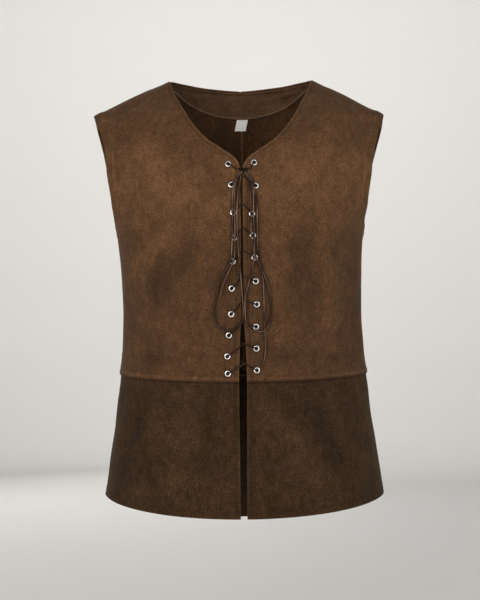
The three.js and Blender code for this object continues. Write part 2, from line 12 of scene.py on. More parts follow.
import bpy
import numpy as np
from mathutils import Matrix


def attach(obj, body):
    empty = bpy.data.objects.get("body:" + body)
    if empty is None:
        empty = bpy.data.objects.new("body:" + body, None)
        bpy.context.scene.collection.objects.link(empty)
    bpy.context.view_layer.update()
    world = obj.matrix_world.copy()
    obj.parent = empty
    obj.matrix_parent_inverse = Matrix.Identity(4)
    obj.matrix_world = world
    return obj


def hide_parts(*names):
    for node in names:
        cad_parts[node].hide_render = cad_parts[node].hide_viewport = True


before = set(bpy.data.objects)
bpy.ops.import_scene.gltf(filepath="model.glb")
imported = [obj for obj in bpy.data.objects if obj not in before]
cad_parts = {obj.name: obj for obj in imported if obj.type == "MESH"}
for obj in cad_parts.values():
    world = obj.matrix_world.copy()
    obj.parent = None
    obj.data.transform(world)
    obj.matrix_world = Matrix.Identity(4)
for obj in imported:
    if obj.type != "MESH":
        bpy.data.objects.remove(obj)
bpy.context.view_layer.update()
print("CAD nodes:", len(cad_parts))

# %% [markdown]
# ## Camera
#
# A garment is usually photographed from chest height with a long lens, so that its shape isn't
# stretched. An 80 mm lens at 2.2 m does this. The camera is turned by half a degree, because
# the vest leans by that much.

# %% Camera
CAMERA_DISTANCE = 2.2
CAMERA_HEIGHT = -0.361
CAMERA_ACROSS = -0.0038
LEAN = math.radians(0.46)

camera_data = bpy.data.cameras.new("camera")
camera_data.lens = 80
camera_data.sensor_width = 36
camera = bpy.data.objects.new("camera", camera_data)
bpy.context.scene.collection.objects.link(camera)
camera.location = (CAMERA_ACROSS, -CAMERA_DISTANCE, CAMERA_HEIGHT)
camera.rotation_euler = (math.pi / 2, LEAN, 0)
bpy.context.scene.camera = camera
print("camera:", camera_data.lens, "mm lens at", CAMERA_DISTANCE, "m")

# %% [markdown]
# ## The body of the vest
#
# Cloth follows the body in it, so every piece starts from one smooth rounded body. A table
# gives its half-width and its reach to the front and back at some heights, and every point on
# it has two numbers: the angle round it from the middle of the front, and the distance down
# from the neck points. With both as arrays, a whole piece of cloth is worked out in one go.

# %% Tables of the body, in millimetres
CLOTH = 1.8
SEAM = 0.3
LAP = 8
LAP_GAP = 0.7
TIP_DOWN = 58
UNDERARM_DOWN = 243
ARMHOLE_DEPTH = {"front": 67, "back": 60}
ARMHOLE_SLANT = 0.1
NECK_BACK_DROP = 5.7
WAIST = (481.5, 8.5)
HEM = (677, 23.5)
BACK_HEM = (677, 62)
SQUARENESS = 0.03
SIDE = math.pi / 2
# distance down, half-width, reach to the front, reach to the back, sway of the sides to +X
SECTIONS = np.array([
    (0, 116.5, 30, 68, 0), (25, 172, 50, 87.5, -2.4), (47, 215.5, 67, 100, -4.2),
    (58, 237.5, 75, 105, -3.6), (66, 240.5, 80, 107, -3), (81, 243, 88.5, 112, -2.6),
    (105, 243.5, 100, 118, -3), (150, 242, 115.5, 122, -4.4), (205, 222.5, 126.5, 122, -4),
    (243, 204, 130, 118.5, -3), (300, 198.5, 128.8, 110.5, -1.6), (375, 196, 123.5, 102.5, -0.3),
    (440, 198.5, 118, 98, 0.6), (490, 205, 117, 100, 1), (560, 213.5, 125, 110, 1.1),
    (625, 223.5, 133.5, 119.5, 1.3), (760, 242, 147, 135.8, 1.8),
])
# across, down: from the slit up to the neck point
NECKLINE = np.array([
    (1.75, 156), (3.6, 148), (8, 140), (16, 132.5), (33, 121), (53, 106.8), (69.6, 89),
    (82.2, 71.5), (96, 46.3), (107.6, 24.5), (116.5, 0),
])
# distance down, half-width of the gap between the fronts
SLIT = np.array([
    (156, 1.75), (382, 1.75), (403, 3.1), (443, 4.9), (490, 6.2), (600, 5.6), (720, 5.0),
])


# %% Smooth curves through a table
def between(table, down, column):
    """Smooth value between a table's rows. Each stretch is a cubic, and its slope at a row is
    the harmonic mean of the slopes on both sides, so that the curve has no bumps of its own."""
    place, value = table[:, 0], table[:, column]
    gap = np.diff(place)
    slope = np.diff(value) / gap
    before, after = slope[:-1], slope[1:]
    same = before * after > 0
    inner = np.where(same, 2 * before * after / np.where(same, before + after, 1), 0)
    tangent = np.concatenate([slope[:1], inner, slope[-1:]])
    down = np.asarray(down, float)
    i = np.clip(np.searchsorted(place, down, side="left") - 1, 0, len(gap) - 1)
    t = (down - place[i]) / gap[i]
    return (
        (1 + 2 * t) * (1 - t) ** 2 * value[i]
        + t * (1 - t) ** 2 * gap[i] * tangent[i]
        + t * t * (3 - 2 * t) * value[i + 1]
        + t * t * (t - 1) * gap[i] * tangent[i + 1]
    )


def smooth(t):
    """Ease from 0 to 1: 3 t squared less 2 t cubed."""
    t = np.clip(t, 0, 1)
    return t * t * (3 - 2 * t)


def body_point(angle, down):
    """A section is an ellipse with a little of its third harmonic, which squares it off:
    across = half (sin a + s sin 3a) / (1 - s) + sway sin squared a, and
    along = reach (cos a - s cos 3a) / (1 - s)."""
    half = between(SECTIONS, down, 1)
    along = (np.cos(angle) - SQUARENESS * np.cos(3 * angle)) / (1 - SQUARENESS)
    reach = np.where(along >= 0, between(SECTIONS, down, 2), between(SECTIONS, down, 3))
    across = half * (np.sin(angle) + SQUARENESS * np.sin(3 * angle)) / (1 - SQUARENESS)
    across = across + between(SECTIONS, down, 4) * np.sin(angle) ** 2
    return np.stack([across, -reach * along, -down + 0 * across], -1)


def unit(vectors):
    """Vectors of length one."""
    return vectors / np.maximum(np.linalg.norm(vectors, axis=-1, keepdims=True), 1e-12)


def body_normal(angle, down):
    """Outward direction: a short step down crossed with a short step round the body."""
    turn, drop = 0.002, 0.4
    low = np.maximum(down - drop, 0)
    round_step = body_point(angle + turn, down) - body_point(angle - turn, down)
    fall = body_point(angle, low + 2 * drop) - body_point(angle, low)
    return unit(np.cross(fall, round_step))


# %% [markdown]
# ## Folds
#
# Suede hangs in soft, shallow folds that start where it is held: at the shoulder, the lacing
# and the waist. Each one is a line on the body with a width and a height, positive for a ridge
# and negative for a trough, and its cross-section is a bell curve. They are placed one by one,
# because real folds differ in length, lean and depth. The wide ones are the solids' own. The
# narrow ones are drag lines and dents that only the finished cloth has.

# %% Tables of the folds: angle and distance down of both ends, width, rise
WIDE_FOLDS = np.array([
    (-34, 105, -22, 215, 20, 2.2), (-24, 95, -12, 190, 18, -1.8), (-15, 262, -46, 372, 18, -3.0),
    (-28, 255, -62, 330, 18, 2.4), (-30, 455, -58, 447, 8, -2.2), (32, 85, 15, 205, 20, 2.2),
    (24, 235, 29, 420, 22, -2.6), (14, 230, 15, 440, 18, 1.6), (38, 260, 43, 450, 16, 2.0),
    (8, 500, 30, 676, 18, 2.2), (24, 500, 45, 650, 18, -2.6), (-24, 505, -27, 680, 20, 1.8),
    (-48, 500, -58, 672, 20, -2.6), (62, 500, 70, 670, 20, 2.0), (150, 120, 138, 235, 22, -2.6),
    (-146, 110, -134, 225, 22, -2.2), (128, 300, 152, 430, 20, 2.2),
    (-124, 320, -150, 445, 20, -2.4), (160, 498, 152, 675, 22, -2.8),
    (-168, 500, -162, 680, 22, 2.4), (-130, 500, -120, 668, 20, -2.4),
])
NARROW_FOLDS = np.array([
    (-13, 142, -6, 172, 5, -0.9), (-9, 136, -3, 160, 4, 0.6), (-30, 262, -47, 350, 7, -1.2),
    (-38, 300, -44, 372, 6, -0.9), (-8, 200, -20, 262, 9, 0.8), (-52, 250, -40, 300, 8, -0.8),
    (-20, 392, -44, 405, 8, 0.7), (-12, 452, -28, 440, 6, -0.8), (-44, 452, -66, 462, 6, 0.7),
    (10, 160, 24, 205, 8, -0.7), (9, 212, 22, 240, 7, 0.6), (48, 245, 40, 320, 9, -0.9),
    (12, 452, 30, 440, 7, -0.7), (36, 456, 60, 448, 7, -0.9), (30, 100, 20, 165, 9, -0.8),
    (62, 78, 66, 98, 4, -0.9), (66, 74, 71, 92, 4, 0.7), (-62, 84, -70, 100, 5, -0.6),
    (14, 498, 22, 560, 7, -0.8), (36, 500, 44, 600, 8, 0.9), (50, 498, 58, 560, 8, -0.8),
    (-12, 498, -14, 600, 8, -0.8), (-38, 498, -40, 590, 9, 0.9), (-66, 498, -70, 560, 8, -0.7),
    (168, 140, 158, 200, 9, 0.8), (-170, 250, -158, 330, 9, -0.8), (120, 260, 134, 330, 9, -0.9),
    (-110, 255, -122, 320, 8, 0.8), (140, 500, 134, 590, 9, 0.8), (-146, 500, -142, 580, 9, -0.8),
    (176, 498, 178, 600, 9, 0.7), (112, 498, 108, 570, 8, -0.7), (-104, 498, -102, 600, 8, 0.7),
])
FOLD_ARC = 150  # mean radius that turns an angle into a distance


def fold_rise(folds, angle, down):
    """Sum of all folds' heights: rise x exp(-(distance off the line / width) squared). Each is
    full over the middle two fifths of its line and gone a tenth of the line past its ends."""
    place = np.stack([angle * FOLD_ARC, down + 0 * angle], -1)
    total = np.zeros(place.shape[:-1])
    for angle1, down1, angle2, down2, width, rise in folds:
        start = np.array([math.radians(angle1) * FOLD_ARC, down1])
        line = np.array([math.radians(angle2) * FOLD_ARC, down2]) - start
        here = place - start
        along = here @ line / (line @ line)
        off = (here[..., 0] * line[1] - here[..., 1] * line[0]) / np.linalg.norm(line)
        fade = smooth((1.2 - np.abs(2 * along - 1)) / 0.8)
        total += rise * fade * np.exp(-((off / width) ** 2))
    return total


def ripple(angle, down):
    """Slow unevenness of hanging suede: a few sine waves of 65 to 125 mm that don't line up."""
    across = angle * FOLD_ARC
    waves = np.sin(across / 17 + down / 31 + 1.3) * np.sin(down / 23 - across / 37 + 0.4)
    return 0.35 * waves + 0.3 * np.sin(across / 11 - down / 47 + 2.1) * np.sin(down / 14 + 0.7)


COLLAR = {"rise": 4.3, "corner": 1.6, "corner_angle": 1.54, "corner_width": 0.06, "fade": 14}


def collar_rise(wrapped, down):
    """The back neck stands up between its centre and the shoulders: a power of the sine of the
    angle off the centre back, highest towards the shoulders. A small bell lowers the corner of
    the neck. Both fade a short way down."""
    off = np.clip(2 - 2 * np.abs(wrapped) / math.pi, 0, 1)
    aside = (np.abs(wrapped) - COLLAR["corner_angle"]) / COLLAR["corner_width"]
    rise = COLLAR["rise"] * np.sin(math.pi * off**1.5) ** 1.2 - COLLAR["corner"] * np.exp(-(aside**2))
    return rise * np.exp(-((down / COLLAR["fade"]) ** 2))


def cloth_point(angle, down, lift=0, fine=0):
    """Point of the cloth on the body, lift mm outside its face; fine adds the narrow folds."""
    wrapped = np.arctan2(np.sin(angle), np.cos(angle))
    rise = fold_rise(WIDE_FOLDS, wrapped, down) + lift
    if np.any(fine):
        rise = rise + fine * (fold_rise(NARROW_FOLDS, wrapped, down) + ripple(wrapped, down))
    point = body_point(angle, down) + body_normal(angle, down) * rise[..., None]
    point[..., 2] += collar_rise(wrapped, down)
    return point


# %% Angles that lie at a given distance across, or off the side line
def angle_across(across, down):
    """Newton's steps for the sine whose place across the front is the one wanted."""
    want = across * (1 - SQUARENESS) / between(SECTIONS, down, 1)
    sine = want
    for _ in range(12):
        miss = sine + SQUARENESS * (3 * sine - 4 * sine**3) - want
        sine = np.clip(sine - miss / (1 + 3 * SQUARENESS - 12 * SQUARENESS * sine**2), -1, 1)
    return np.arcsin(sine)


def angle_from_side(depth, down, face):
    """Angle off the side line at which the body lies depth before it or behind it."""
    want = depth * (1 - SQUARENESS) / between(SECTIONS, down, 2 if face == "front" else 3)
    q = want
    for _ in range(12):
        miss = q * (1 + 3 * SQUARENESS) - 4 * SQUARENESS * q**3 - want
        q = q - miss / (1 + 3 * SQUARENESS - 12 * SQUARENESS * q**2)
    return np.arcsin(np.clip(q, -1, 1))


def on_front(places):
    """Points in metres for rows of x, distance down and lift off the cloth, in millimetres."""
    x, down, lift = np.asarray(places, float).T
    return cloth_point(angle_across(x, down), down, lift) / 1000


def run_along(points):
    """How far along a line each of its points is: 0 at the first, the line's length at the last."""
    return np.concatenate([[0], np.cumsum(np.linalg.norm(np.diff(points, axis=0), axis=1))])


chest_line = body_point(np.linspace(0, 2 * math.pi, 400), np.full(400, 205.0))
print("chest girth, mm:", round(run_along(chest_line)[-1]))

# %% [markdown]
# ## Meshes from arrays
#
# A piece is a grid of points, so its faces follow from the grid's size alone. One function puts
# the arrays into a mesh. Another closes a tube round a path: a lace.


# %% Grid faces, and arrays into a mesh
def grid_faces(rows, columns, closed=False):
    """Four corners of every cell of a grid, and of the cells that close its columns."""
    i, j = np.meshgrid(np.arange(rows - 1), np.arange(columns - (not closed)), indexing="ij")
    k = (j + 1) % columns
    return np.stack([i * columns + j, i * columns + k, (i + 1) * columns + k, (i + 1) * columns + j],
                    -1).reshape(-1, 4)


def make_mesh(name, points, faces, **marks):
    """Object from points in metres and arrays of three- or four-cornered faces, all turned so
    that the volume they close is positive. Each mark is a value kept at every point."""
    faces = [f for f in faces if len(f)]
    fans = np.vstack([f[:, [0, i, i + 1]] for f in faces for i in range(1, f.shape[1] - 1)])
    a, b, c = (points[fans[:, k]] - points.mean(0) for k in range(3))
    if np.einsum("ij,ij->", a, np.cross(b, c)) < 0:
        faces = [f[:, ::-1] for f in faces]
    corners = np.concatenate([f.ravel() for f in faces]).astype(np.int32)
    sizes = np.concatenate([np.full(len(f), f.shape[1]) for f in faces])
    starts = np.concatenate([[0], np.cumsum(sizes)[:-1]]).astype(np.int32)
    mesh = bpy.data.meshes.new(name)
    mesh.vertices.add(len(points))
    mesh.vertices.foreach_set("co", np.asarray(points, np.float32).ravel())
    mesh.loops.add(len(corners))
    mesh.loops.foreach_set("vertex_index", corners)
    mesh.polygons.add(len(sizes))
    mesh.polygons.foreach_set("loop_start", starts)
    for mark, values in marks.items():
        layer = mesh.attributes.new(mark, "FLOAT", "POINT")
        layer.data.foreach_set("value", np.asarray(values, np.float32).ravel())
    mesh.update(calc_edges=True)
    mesh.shade_smooth()
    piece = bpy.data.objects.new(name, mesh)
    bpy.context.scene.collection.objects.link(piece)
    return piece


def stand_for(piece, slot, material, *nodes):
    """The piece rides on the one body, takes its material, and stands for its nodes; the slot is not
    used.
    """
    piece.data.materials.append(material)
    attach(piece, "root")
    if nodes:
        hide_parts(*nodes)
    return piece


# %% Tubes along a path
def spline(points, step):
    """Centripetal Catmull-Rom curve through points, with a new point about every step metres:
    the knots are spaced by the root of the distance, so that no stretch loops or swings out."""
    p = np.vstack([2 * points[0] - points[1], points, 2 * points[-1] - points[-2]])
    pieces = []
    for p0, p1, p2, p3 in zip(p[:-3], p[1:-2], p[2:-1], p[3:]):
        count = max(2, int(round(np.linalg.norm(p2 - p1) / step)))
        k1 = np.linalg.norm(p1 - p0) ** 0.5
        k2 = k1 + np.linalg.norm(p2 - p1) ** 0.5
        k3 = k2 + np.linalg.norm(p3 - p2) ** 0.5
        t = np.linspace(k1, k2, count, endpoint=False)[:, None]
        a1 = p0 + (p1 - p0) * t / k1
        a2 = p1 + (p2 - p1) * (t - k1) / (k2 - k1)
        a3 = p2 + (p3 - p2) * (t - k2) / (k3 - k2)
        b1 = a1 + (a2 - a1) * t / k2
        b2 = a2 + (a3 - a2) * (t - k1) / (k3 - k1)
        pieces.append(b1 + (b2 - b1) * (t - k1) / (k2 - k1))
    return np.vstack(pieces + [points[-1:]])


def frames_along(path, up):
    """Tangent, side and top of every point: the side is across both the path and up."""
    tangent = unit(np.gradient(path, axis=0))
    side = unit(np.cross(tangent, up))
    return tangent, side, np.cross(side, tangent)


def tube(path, up, wide, high, sides):
    """Closed tube: an ellipse of half-sizes wide and high carried along the path. Its two ends
    are rounded over three rings down to a point."""
    tangent, side, top = frames_along(path, up)
    length = run_along(path)
    cap = np.radians([90, 62, 30])
    swell = np.concatenate([np.cos(cap), np.ones(len(path)), np.cos(cap[::-1])])
    index = np.concatenate([[0] * 3, np.arange(len(path)), [len(path) - 1] * 3])
    push = np.concatenate([-np.sin(cap), np.zeros(len(path)), np.sin(cap[::-1])])
    wide, high = (np.broadcast_to(np.asarray(v, float), (len(path),))[index] for v in (wide, high))
    turn = np.broadcast_to(np.linspace(0, 2 * math.pi, sides, endpoint=False), (len(index), sides))
    swell = np.maximum(swell, 0.02)[:, None, None]
    ring = (
        (wide[:, None] * np.cos(turn))[..., None] * side[index][:, None]
        + (high[:, None] * np.sin(turn))[..., None] * top[index][:, None]
    ) * swell
    centre = path[index] + tangent[index] * (push * high)[:, None]
    rings = centre[:, None] + ring
    faces = grid_faces(len(index), sides, closed=True)
    fan = np.arange(sides)
    start, stop = len(index) * sides, len(index) * sides + 1
    last = (len(index) - 1) * sides
    ends = np.vstack([
        np.stack([np.full(sides, start), (fan + 1) % sides, fan], -1),
        np.stack([np.full(sides, stop), last + fan, last + (fan + 1) % sides], -1),
    ])
    points = np.vstack([rings.reshape(-1, 3), centre[:1], centre[-1:]])
    along = np.concatenate([np.repeat(length[index], sides), length[[0, -1]]])
    crown = np.concatenate([np.sin(turn).ravel(), [0, 0]])
    return points, [faces, ends], along, crown


# %% [markdown]
# ## Suede
#
# The cloth is sueded microfibre, brushed until its pile lies like that of real suede. The pile
# scatters light, so there is no gloss, only a soft sheen where the surface turns away. It is
# lighter where it is rubbed, on folds and edges, and it shows patches where a hand has brushed
# it the other way. Light and shade are painted into its colour as well: a painted highlight on
# ridges and over the chest, and painted shade in troughs, at the sides and along seams and
# stitch lines. The rubbing and the painted light and shade are worked out with the shape and
# kept together at each point as one mark.


# %% Colours, and a node with its settings and links
def linear(colour):
    """sRGB hex to linear light."""
    parts = [int(colour[i : i + 2], 16) / 255 for i in (1, 3, 5)]
    return tuple(c / 12.92 if c <= 0.04045 else ((c + 0.055) / 1.055) ** 2.4 for c in parts) + (1,)


def add_node(tree, kind, inputs=None, **settings):
    """A node with its own settings, and inputs that are values or other nodes' outputs."""
    made = tree.nodes.new(kind)
    for name, value in settings.items():
        setattr(made, name, value)
    for name, value in (inputs or {}).items():
        if isinstance(value, bpy.types.NodeSocket):
            tree.links.new(value, made.inputs[name])
        else:
            made.inputs[name].default_value = value
    return made


def new_material(name):
    """An empty material with its tree, Principled shader and place in the object."""
    material = bpy.data.materials.new(name)
    material.use_nodes = True
    tree = material.node_tree
    tree.nodes.clear()
    shader = add_node(tree, "ShaderNodeBsdfPrincipled")
    output = add_node(tree, "ShaderNodeOutputMaterial")
    tree.links.new(shader.outputs["BSDF"], output.inputs["Surface"])
    place = add_node(tree, "ShaderNodeTexCoord").outputs["Object"]
    return material, tree, shader, place


def ramp(tree, factor, stops):
    """Colour ramp through (position, hex colour) stops."""
    made = add_node(tree, "ShaderNodeValToRGB", {"Fac": factor})
    for element, (position, colour) in zip(made.color_ramp.elements, (stops[0], stops[-1])):
        element.position, element.color = position, linear(colour)
    for position, colour in stops[1:-1]:
        made.color_ramp.elements.new(position).color = linear(colour)
    return made.outputs["Color"]


PATCH = 0.042  # patches of brushed pile, metres
STREAK = 0.0085  # short smears inside them
PILE = 0.0021  # tufts of pile: real ones are 0.3 mm, drawn coarser so that they show


def suede(name, colours, sheen, contrast=1.0):
    """Sueded microfibre: a mark of wear, painted highlight and painted shade at each point, and
    three sizes of noise pick a tone between deep and pale. The smears are drawn out downwards,
    the way the pile was brushed."""
    material, tree, shader, place = new_material(name)
    # the mark of wear, painted highlight and painted shade at each point
    rub = add_node(tree, "ShaderNodeAttribute", attribute_name="rub").outputs["Fac"]
    patch = add_node(tree, "ShaderNodeTexNoise",
                     {"Vector": place, "Scale": 1 / PATCH, "Detail": 3.0, "Roughness": 0.6})
    brushed = add_node(tree, "ShaderNodeMapping", {"Vector": place, "Scale": (1.0, 1.0, 0.55)})
    streak = add_node(tree, "ShaderNodeTexNoise",
                      {"Vector": brushed.outputs["Vector"], "Scale": 1 / STREAK, "Detail": 2.0})
    pile = add_node(tree, "ShaderNodeTexNoise",
                    {"Vector": place, "Scale": 1 / PILE, "Detail": 2.0, "Roughness": 0.7})
    tone = rub
    for noise, share in ((patch, 0.46), (streak, 0.42 * contrast), (pile, 1.25 * contrast)):
        centred = add_node(tree, "ShaderNodeMath", {0: noise.outputs["Fac"], 1: 0.5},
                           operation="SUBTRACT")
        tone = add_node(tree, "ShaderNodeMath", {0: centred.outputs[0], 1: share, 2: tone},
                        operation="MULTIPLY_ADD").outputs[0]
    deep, middle, worn_and_lit = colours
    colour = ramp(tree, tone, [(0.1, deep), (0.5, middle), (0.95, worn_and_lit)])
    tree.links.new(colour, shader.inputs["Base Color"])
    height = add_node(tree, "ShaderNodeMath",
                      {0: streak.outputs["Fac"], 1: 0.5, 2: pile.outputs["Fac"]},
                      operation="MULTIPLY_ADD")
    bump = add_node(tree, "ShaderNodeBump",
                    {"Height": height.outputs[0], "Strength": 0.55, "Distance": 0.0005})
    tree.links.new(bump.outputs["Normal"], shader.inputs["Normal"])
    shader.inputs["Roughness"].default_value = 0.93
    shader.inputs["Specular IOR Level"].default_value = 0.2
    shader.inputs["Sheen Weight"].default_value = sheen
    shader.inputs["Sheen Roughness"].default_value = 0.5
    shader.inputs["Sheen Tint"].default_value = linear("#c9a88a")
    return material


BODICE_SUEDE = suede("sueded_microfibre_bodice", ("#312014", "#523924", "#7a573b"), 0.13)
SKIRT_SUEDE = suede("sueded_microfibre_skirt", ("#21160c", "#3a2817", "#5a422b"), 0.1, 1.25)
FACING_SUEDE = suede("sueded_microfibre_facing", ("#3b2a1e", "#563f2d", "#745742"), 0.12)
LACE_SUEDE = suede("split_suede_lace", ("#0f0906", "#35241c", "#a08272"), 0.15, 0.4)
THREAD = suede("spun_polyester_thread", ("#20150e", "#33231a", "#4a3829"), 0.1)
EDGE_THREAD = suede("overlock_thread", ("#5c4a3a", "#84705c", "#a08c76"), 0.1, 0.5)
print("cloth, lace and threads:", len(bpy.data.materials))


# %% Nickel and satin
def plated_brass():
    """Nickel-plated brass, stamped and polished: a warm grey mirror with fine rubbing marks,
    painted dark inside the barrel as shade, where the bore's mark is one."""
    material, tree, shader, place = new_material("nickel_plated_brass")
    marks = add_node(tree, "ShaderNodeTexNoise", {"Vector": place, "Scale": 900.0, "Detail": 3.0})
    tarnish = add_node(tree, "ShaderNodeAttribute", attribute_name="tarnish").outputs["Fac"]
    unshaded_metal = add_node(tree, "ShaderNodeMath", {0: marks.outputs["Fac"], 1: tarnish},
                     operation="SUBTRACT").outputs[0]
    tint = ramp(tree, unshaded_metal, [(0.0, "#14110f"), (0.15, "#c2c3c5"), (0.75, "#eceded")])
    tree.links.new(tint, shader.inputs["Base Color"])
    rough = add_node(tree, "ShaderNodeMapRange",
                     {"Value": marks.outputs["Fac"], "To Min": 0.16, "To Max": 0.34})
    tree.links.new(rough.outputs["Result"], shader.inputs["Roughness"])
    shader.inputs["Metallic"].default_value = 1.0
    return material


WEFT = 0.00283  # ribs of the ribbon's weft: real ones are 0.3 mm, drawn coarser so that they show


def satin_ribbon():
    """White polyester satin: fine ribs across the ribbon with a soft gloss. The node's wave is
    the sine of 20 x scale x height, so a rib is pi / 10 / scale wide."""
    material, tree, shader, place = new_material("polyester_satin_ribbon")
    ribs = add_node(tree, "ShaderNodeTexWave",
                    {"Vector": place, "Scale": math.pi / 10 / WEFT, "Distortion": 1.5},
                    bands_direction="Z")
    tint = ramp(tree, ribs.outputs["Fac"], [(0.0, "#eceeed"), (1.0, "#fcfcfb")])
    tree.links.new(tint, shader.inputs["Base Color"])
    bump = add_node(tree, "ShaderNodeBump",
                    {"Height": ribs.outputs["Fac"], "Strength": 0.3, "Distance": 0.0002})
    tree.links.new(bump.outputs["Normal"], shader.inputs["Normal"])
    shader.inputs["Roughness"].default_value = 0.42
    shader.inputs["Sheen Weight"].default_value = 0.2
    return material


NICKEL = plated_brass()
SATIN = satin_ribbon()
print("metal and ribbon:", NICKEL.name, SATIN.name)

# %% [markdown]
# ## Free laces
#
# The lace ties in a bow at the top. Its two loops go back into the knot and its two ends hang
# free and bare. Each is a round suede lace 2.4 mm across that follows points on the front of
# the cloth: x, distance down and height off the cloth. It hangs straight down, lies on the
# lacing, and turns in wide arcs because it is thin and limp. A lace is a nearly round ellipse
# carried along its path, so its whole surface comes from two arrays: the path's points and the
# angle round it.

# %% Routes of the loops and ends, in millimetres
LACE_RADIUS = 1.2
FREE_LACE = {
    "bow_loop_left": [
        (-3, 165, 5.6), (-12, 185, 5.6), (-14, 226, 5.6), (-15, 267, 5.6), (-18, 300, 5.6),
        (-25, 314, 5.6), (-33, 324, 5.6), (-39, 348, 5.2), (-44, 379, 5.0), (-40, 399, 4.8),
        (-27, 408, 5.0), (-15, 407, 5.2), (-4, 398, 5.6), (1, 385, 5.6), (0, 358, 5.6),
        (-3, 314, 5.6), (-6.5, 267, 5.6), (-7, 213, 5.6), (-1, 169.5, 5.6),
    ],
    "bow_loop_right": [
        (8, 165, 5.6), (17, 184, 5.6), (18, 226, 5.6), (19, 267, 5.6), (18.5, 296, 5.6),
        (14.5, 314, 5.6), (9.5, 336, 5.6), (4.2, 359, 5.6), (4.2, 380, 5.4), (5.5, 395, 5.2),
        (11, 406, 5.2), (22, 410, 5.2), (34, 408, 5.0), (42, 394, 5.0), (44.5, 373, 5.2),
        (42.5, 355, 5.4), (37.5, 332, 5.6), (30, 313, 5.6), (25, 292, 5.6), (23.8, 252, 5.6),
        (22.5, 206, 5.6), (12.6, 167, 5.6),
    ],
    "lace_end_left": [
        (0.5, 163.8, 8.6), (-6.5, 174, 8.6), (-10.5, 192, 8.4), (-10.5, 226, 8.4),
        (-10.8, 267, 8.2), (-12.5, 297, 8.2), (-20.5, 316, 8.2), (-29, 336, 7.0), (-34, 355, 5.0),
    ],
    "lace_end_right": [
        (5.5, 163.8, 8.6), (10, 174, 8.6), (13, 194, 8.4), (14, 236, 8.4), (15, 273, 8.2),
        (20, 292, 8.2), (27, 306, 8.4), (31, 325, 8.4), (32.5, 346, 8.2), (33, 375, 8.2),
        (33.5, 408, 8.4), (34.5, 424, 6.6), (35, 440, 4.8), (33, 454, 4.4), (31, 462, 4.2),
    ],
}
LACE_STEP = 0.0012
FORWARD = np.array([0.0, -1.0, 0.0])


# %% Loops and ends
def lace_highlight_and_shade(along, crown, worn_and_lit):
    """Painted highlight on the side of the lace that faces forward and painted shade at its
    sides, more on some stretches than on others: slow waves of uneven length along it."""
    wave = 0.5 + 0.5 * np.sin(along * 71 + 2 * np.sin(along * 23)) * np.sin(along * 37 + 1.1)
    return worn_and_lit * smooth((crown - 0.3) / 0.7) ** 1.5 * (0.55 + 0.45 * wave)


def lace_piece(node, path, seed, worn_and_lit, radius=LACE_RADIUS):
    """A lace along a path, for one node: slightly flat, its width uneven by a twentieth, with a
    painted highlight and shade whose strength is a share that may differ from point to point."""
    share = np.linspace(0, 1, len(path))
    uneven = 1 + 0.05 * np.sin(share * 61 + seed) * np.sin(share * 23 + 2 * seed)
    points, faces, along, crown = tube(path, FORWARD, radius / 1000 * uneven,
                                       radius * 0.96 / 1000 * uneven, 12)
    worn_and_lit = np.interp(along, along.max() * share, np.broadcast_to(worn_and_lit, len(path)))
    piece = make_mesh(node + "_lace", points, faces, rub=lace_highlight_and_shade(along + seed, crown, worn_and_lit))
    return stand_for(piece, "suede_lace", LACE_SUEDE, node)


free_length = {}
lace_lines = []  # where a free lace lies over the cloth and shades it
for seed, (name, route) in enumerate(FREE_LACE.items()):
    path = spline(on_front(route), LACE_STEP)
    length = round(float(run_along(path)[-1]), 3)
    free_length[name] = length
    lace_lines.append(1000 * spline(on_front(np.array(route) * (1, 1, 0)), 3 * LACE_STEP))
    piece = lace_piece(name, path, seed=1.0 + seed, worn_and_lit=0.85)
print("free laces, m:", free_length)


# %% [markdown]
# ## Cloth walls
#
# A pattern piece is cut flat, but it is worn bent, so its grid is made on the body: straight
# lines between its inner edge (the slit, or the centre back) and its outer one (the side seam
# and armhole), plus the shapes of its foot (the waist) and head (the neckline and shoulder).
# The wall between its outer and inner face has a rounded rim, as a turned edge has. Everything
# sewn along an edge depends on how far a point is from that edge, so that distance comes first.


# %% Grids of places: closer together near the edges and corners
def steps(stops, counts):
    """Shares from 0 to 1 with the stops among them, crowded towards both ends of each part:
    t less 0.62 sin(2 pi t) / (2 pi)."""
    parts = []
    for start, stop, count in zip(stops[:-1], stops[1:], counts):
        t = np.arange(count) / count
        parts.append(start + (stop - start) * (t - 0.62 * np.sin(2 * math.pi * t) / (2 * math.pi)))
    return np.concatenate(parts + [[1.0]])


def blend(a, b, t):
    """Straight step from a to b."""
    return a + (b - a) * t


def patch(foot, head, inner, outer, across, up):
    """Places between four edges: the straight line from the inner to the outer edge, plus how
    far foot and head leave their own straight lines; the head's share fades with up cubed."""
    def bulge(edge):
        """How far an edge leaves the straight line between its ends."""
        return (edge(across) - blend(edge(across[:1]), edge(across[-1:]), across[:, None]))[None]

    u, v = across[None, :, None], up[:, None, None]
    straight = blend(inner(up)[:, None], outer(up)[:, None], u)
    return straight + (1 - v) * bulge(foot) + v**3 * bulge(head)


def places(angle, down):
    """Angle and distance down side by side."""
    return np.stack(np.broadcast_arrays(angle, down), -1)


# %% Distance from an edge, and a line at a distance from it
BLOCK = 1_500_000  # pairs of a point and a part worked out at a time, so that arrays stay small


def distance_to(points, edge):
    """Least distance from every point to the straight parts of an edge line."""
    flat = points.reshape(-1, 3)
    start, part = edge[:-1], np.diff(edge, axis=0)
    size = np.maximum((part**2).sum(1), 1e-9)
    out = []
    for block in np.array_split(flat, max(1, len(flat) * len(part) // BLOCK)):
        t = (block @ part.T - (start * part).sum(1)) / size
        t = np.clip(t, 0, 1)
        away = block[:, None] - start - t[..., None] * part
        out.append(np.sqrt((away**2).sum(-1).min(1)))
    return np.concatenate(out).reshape(points.shape[:-1])


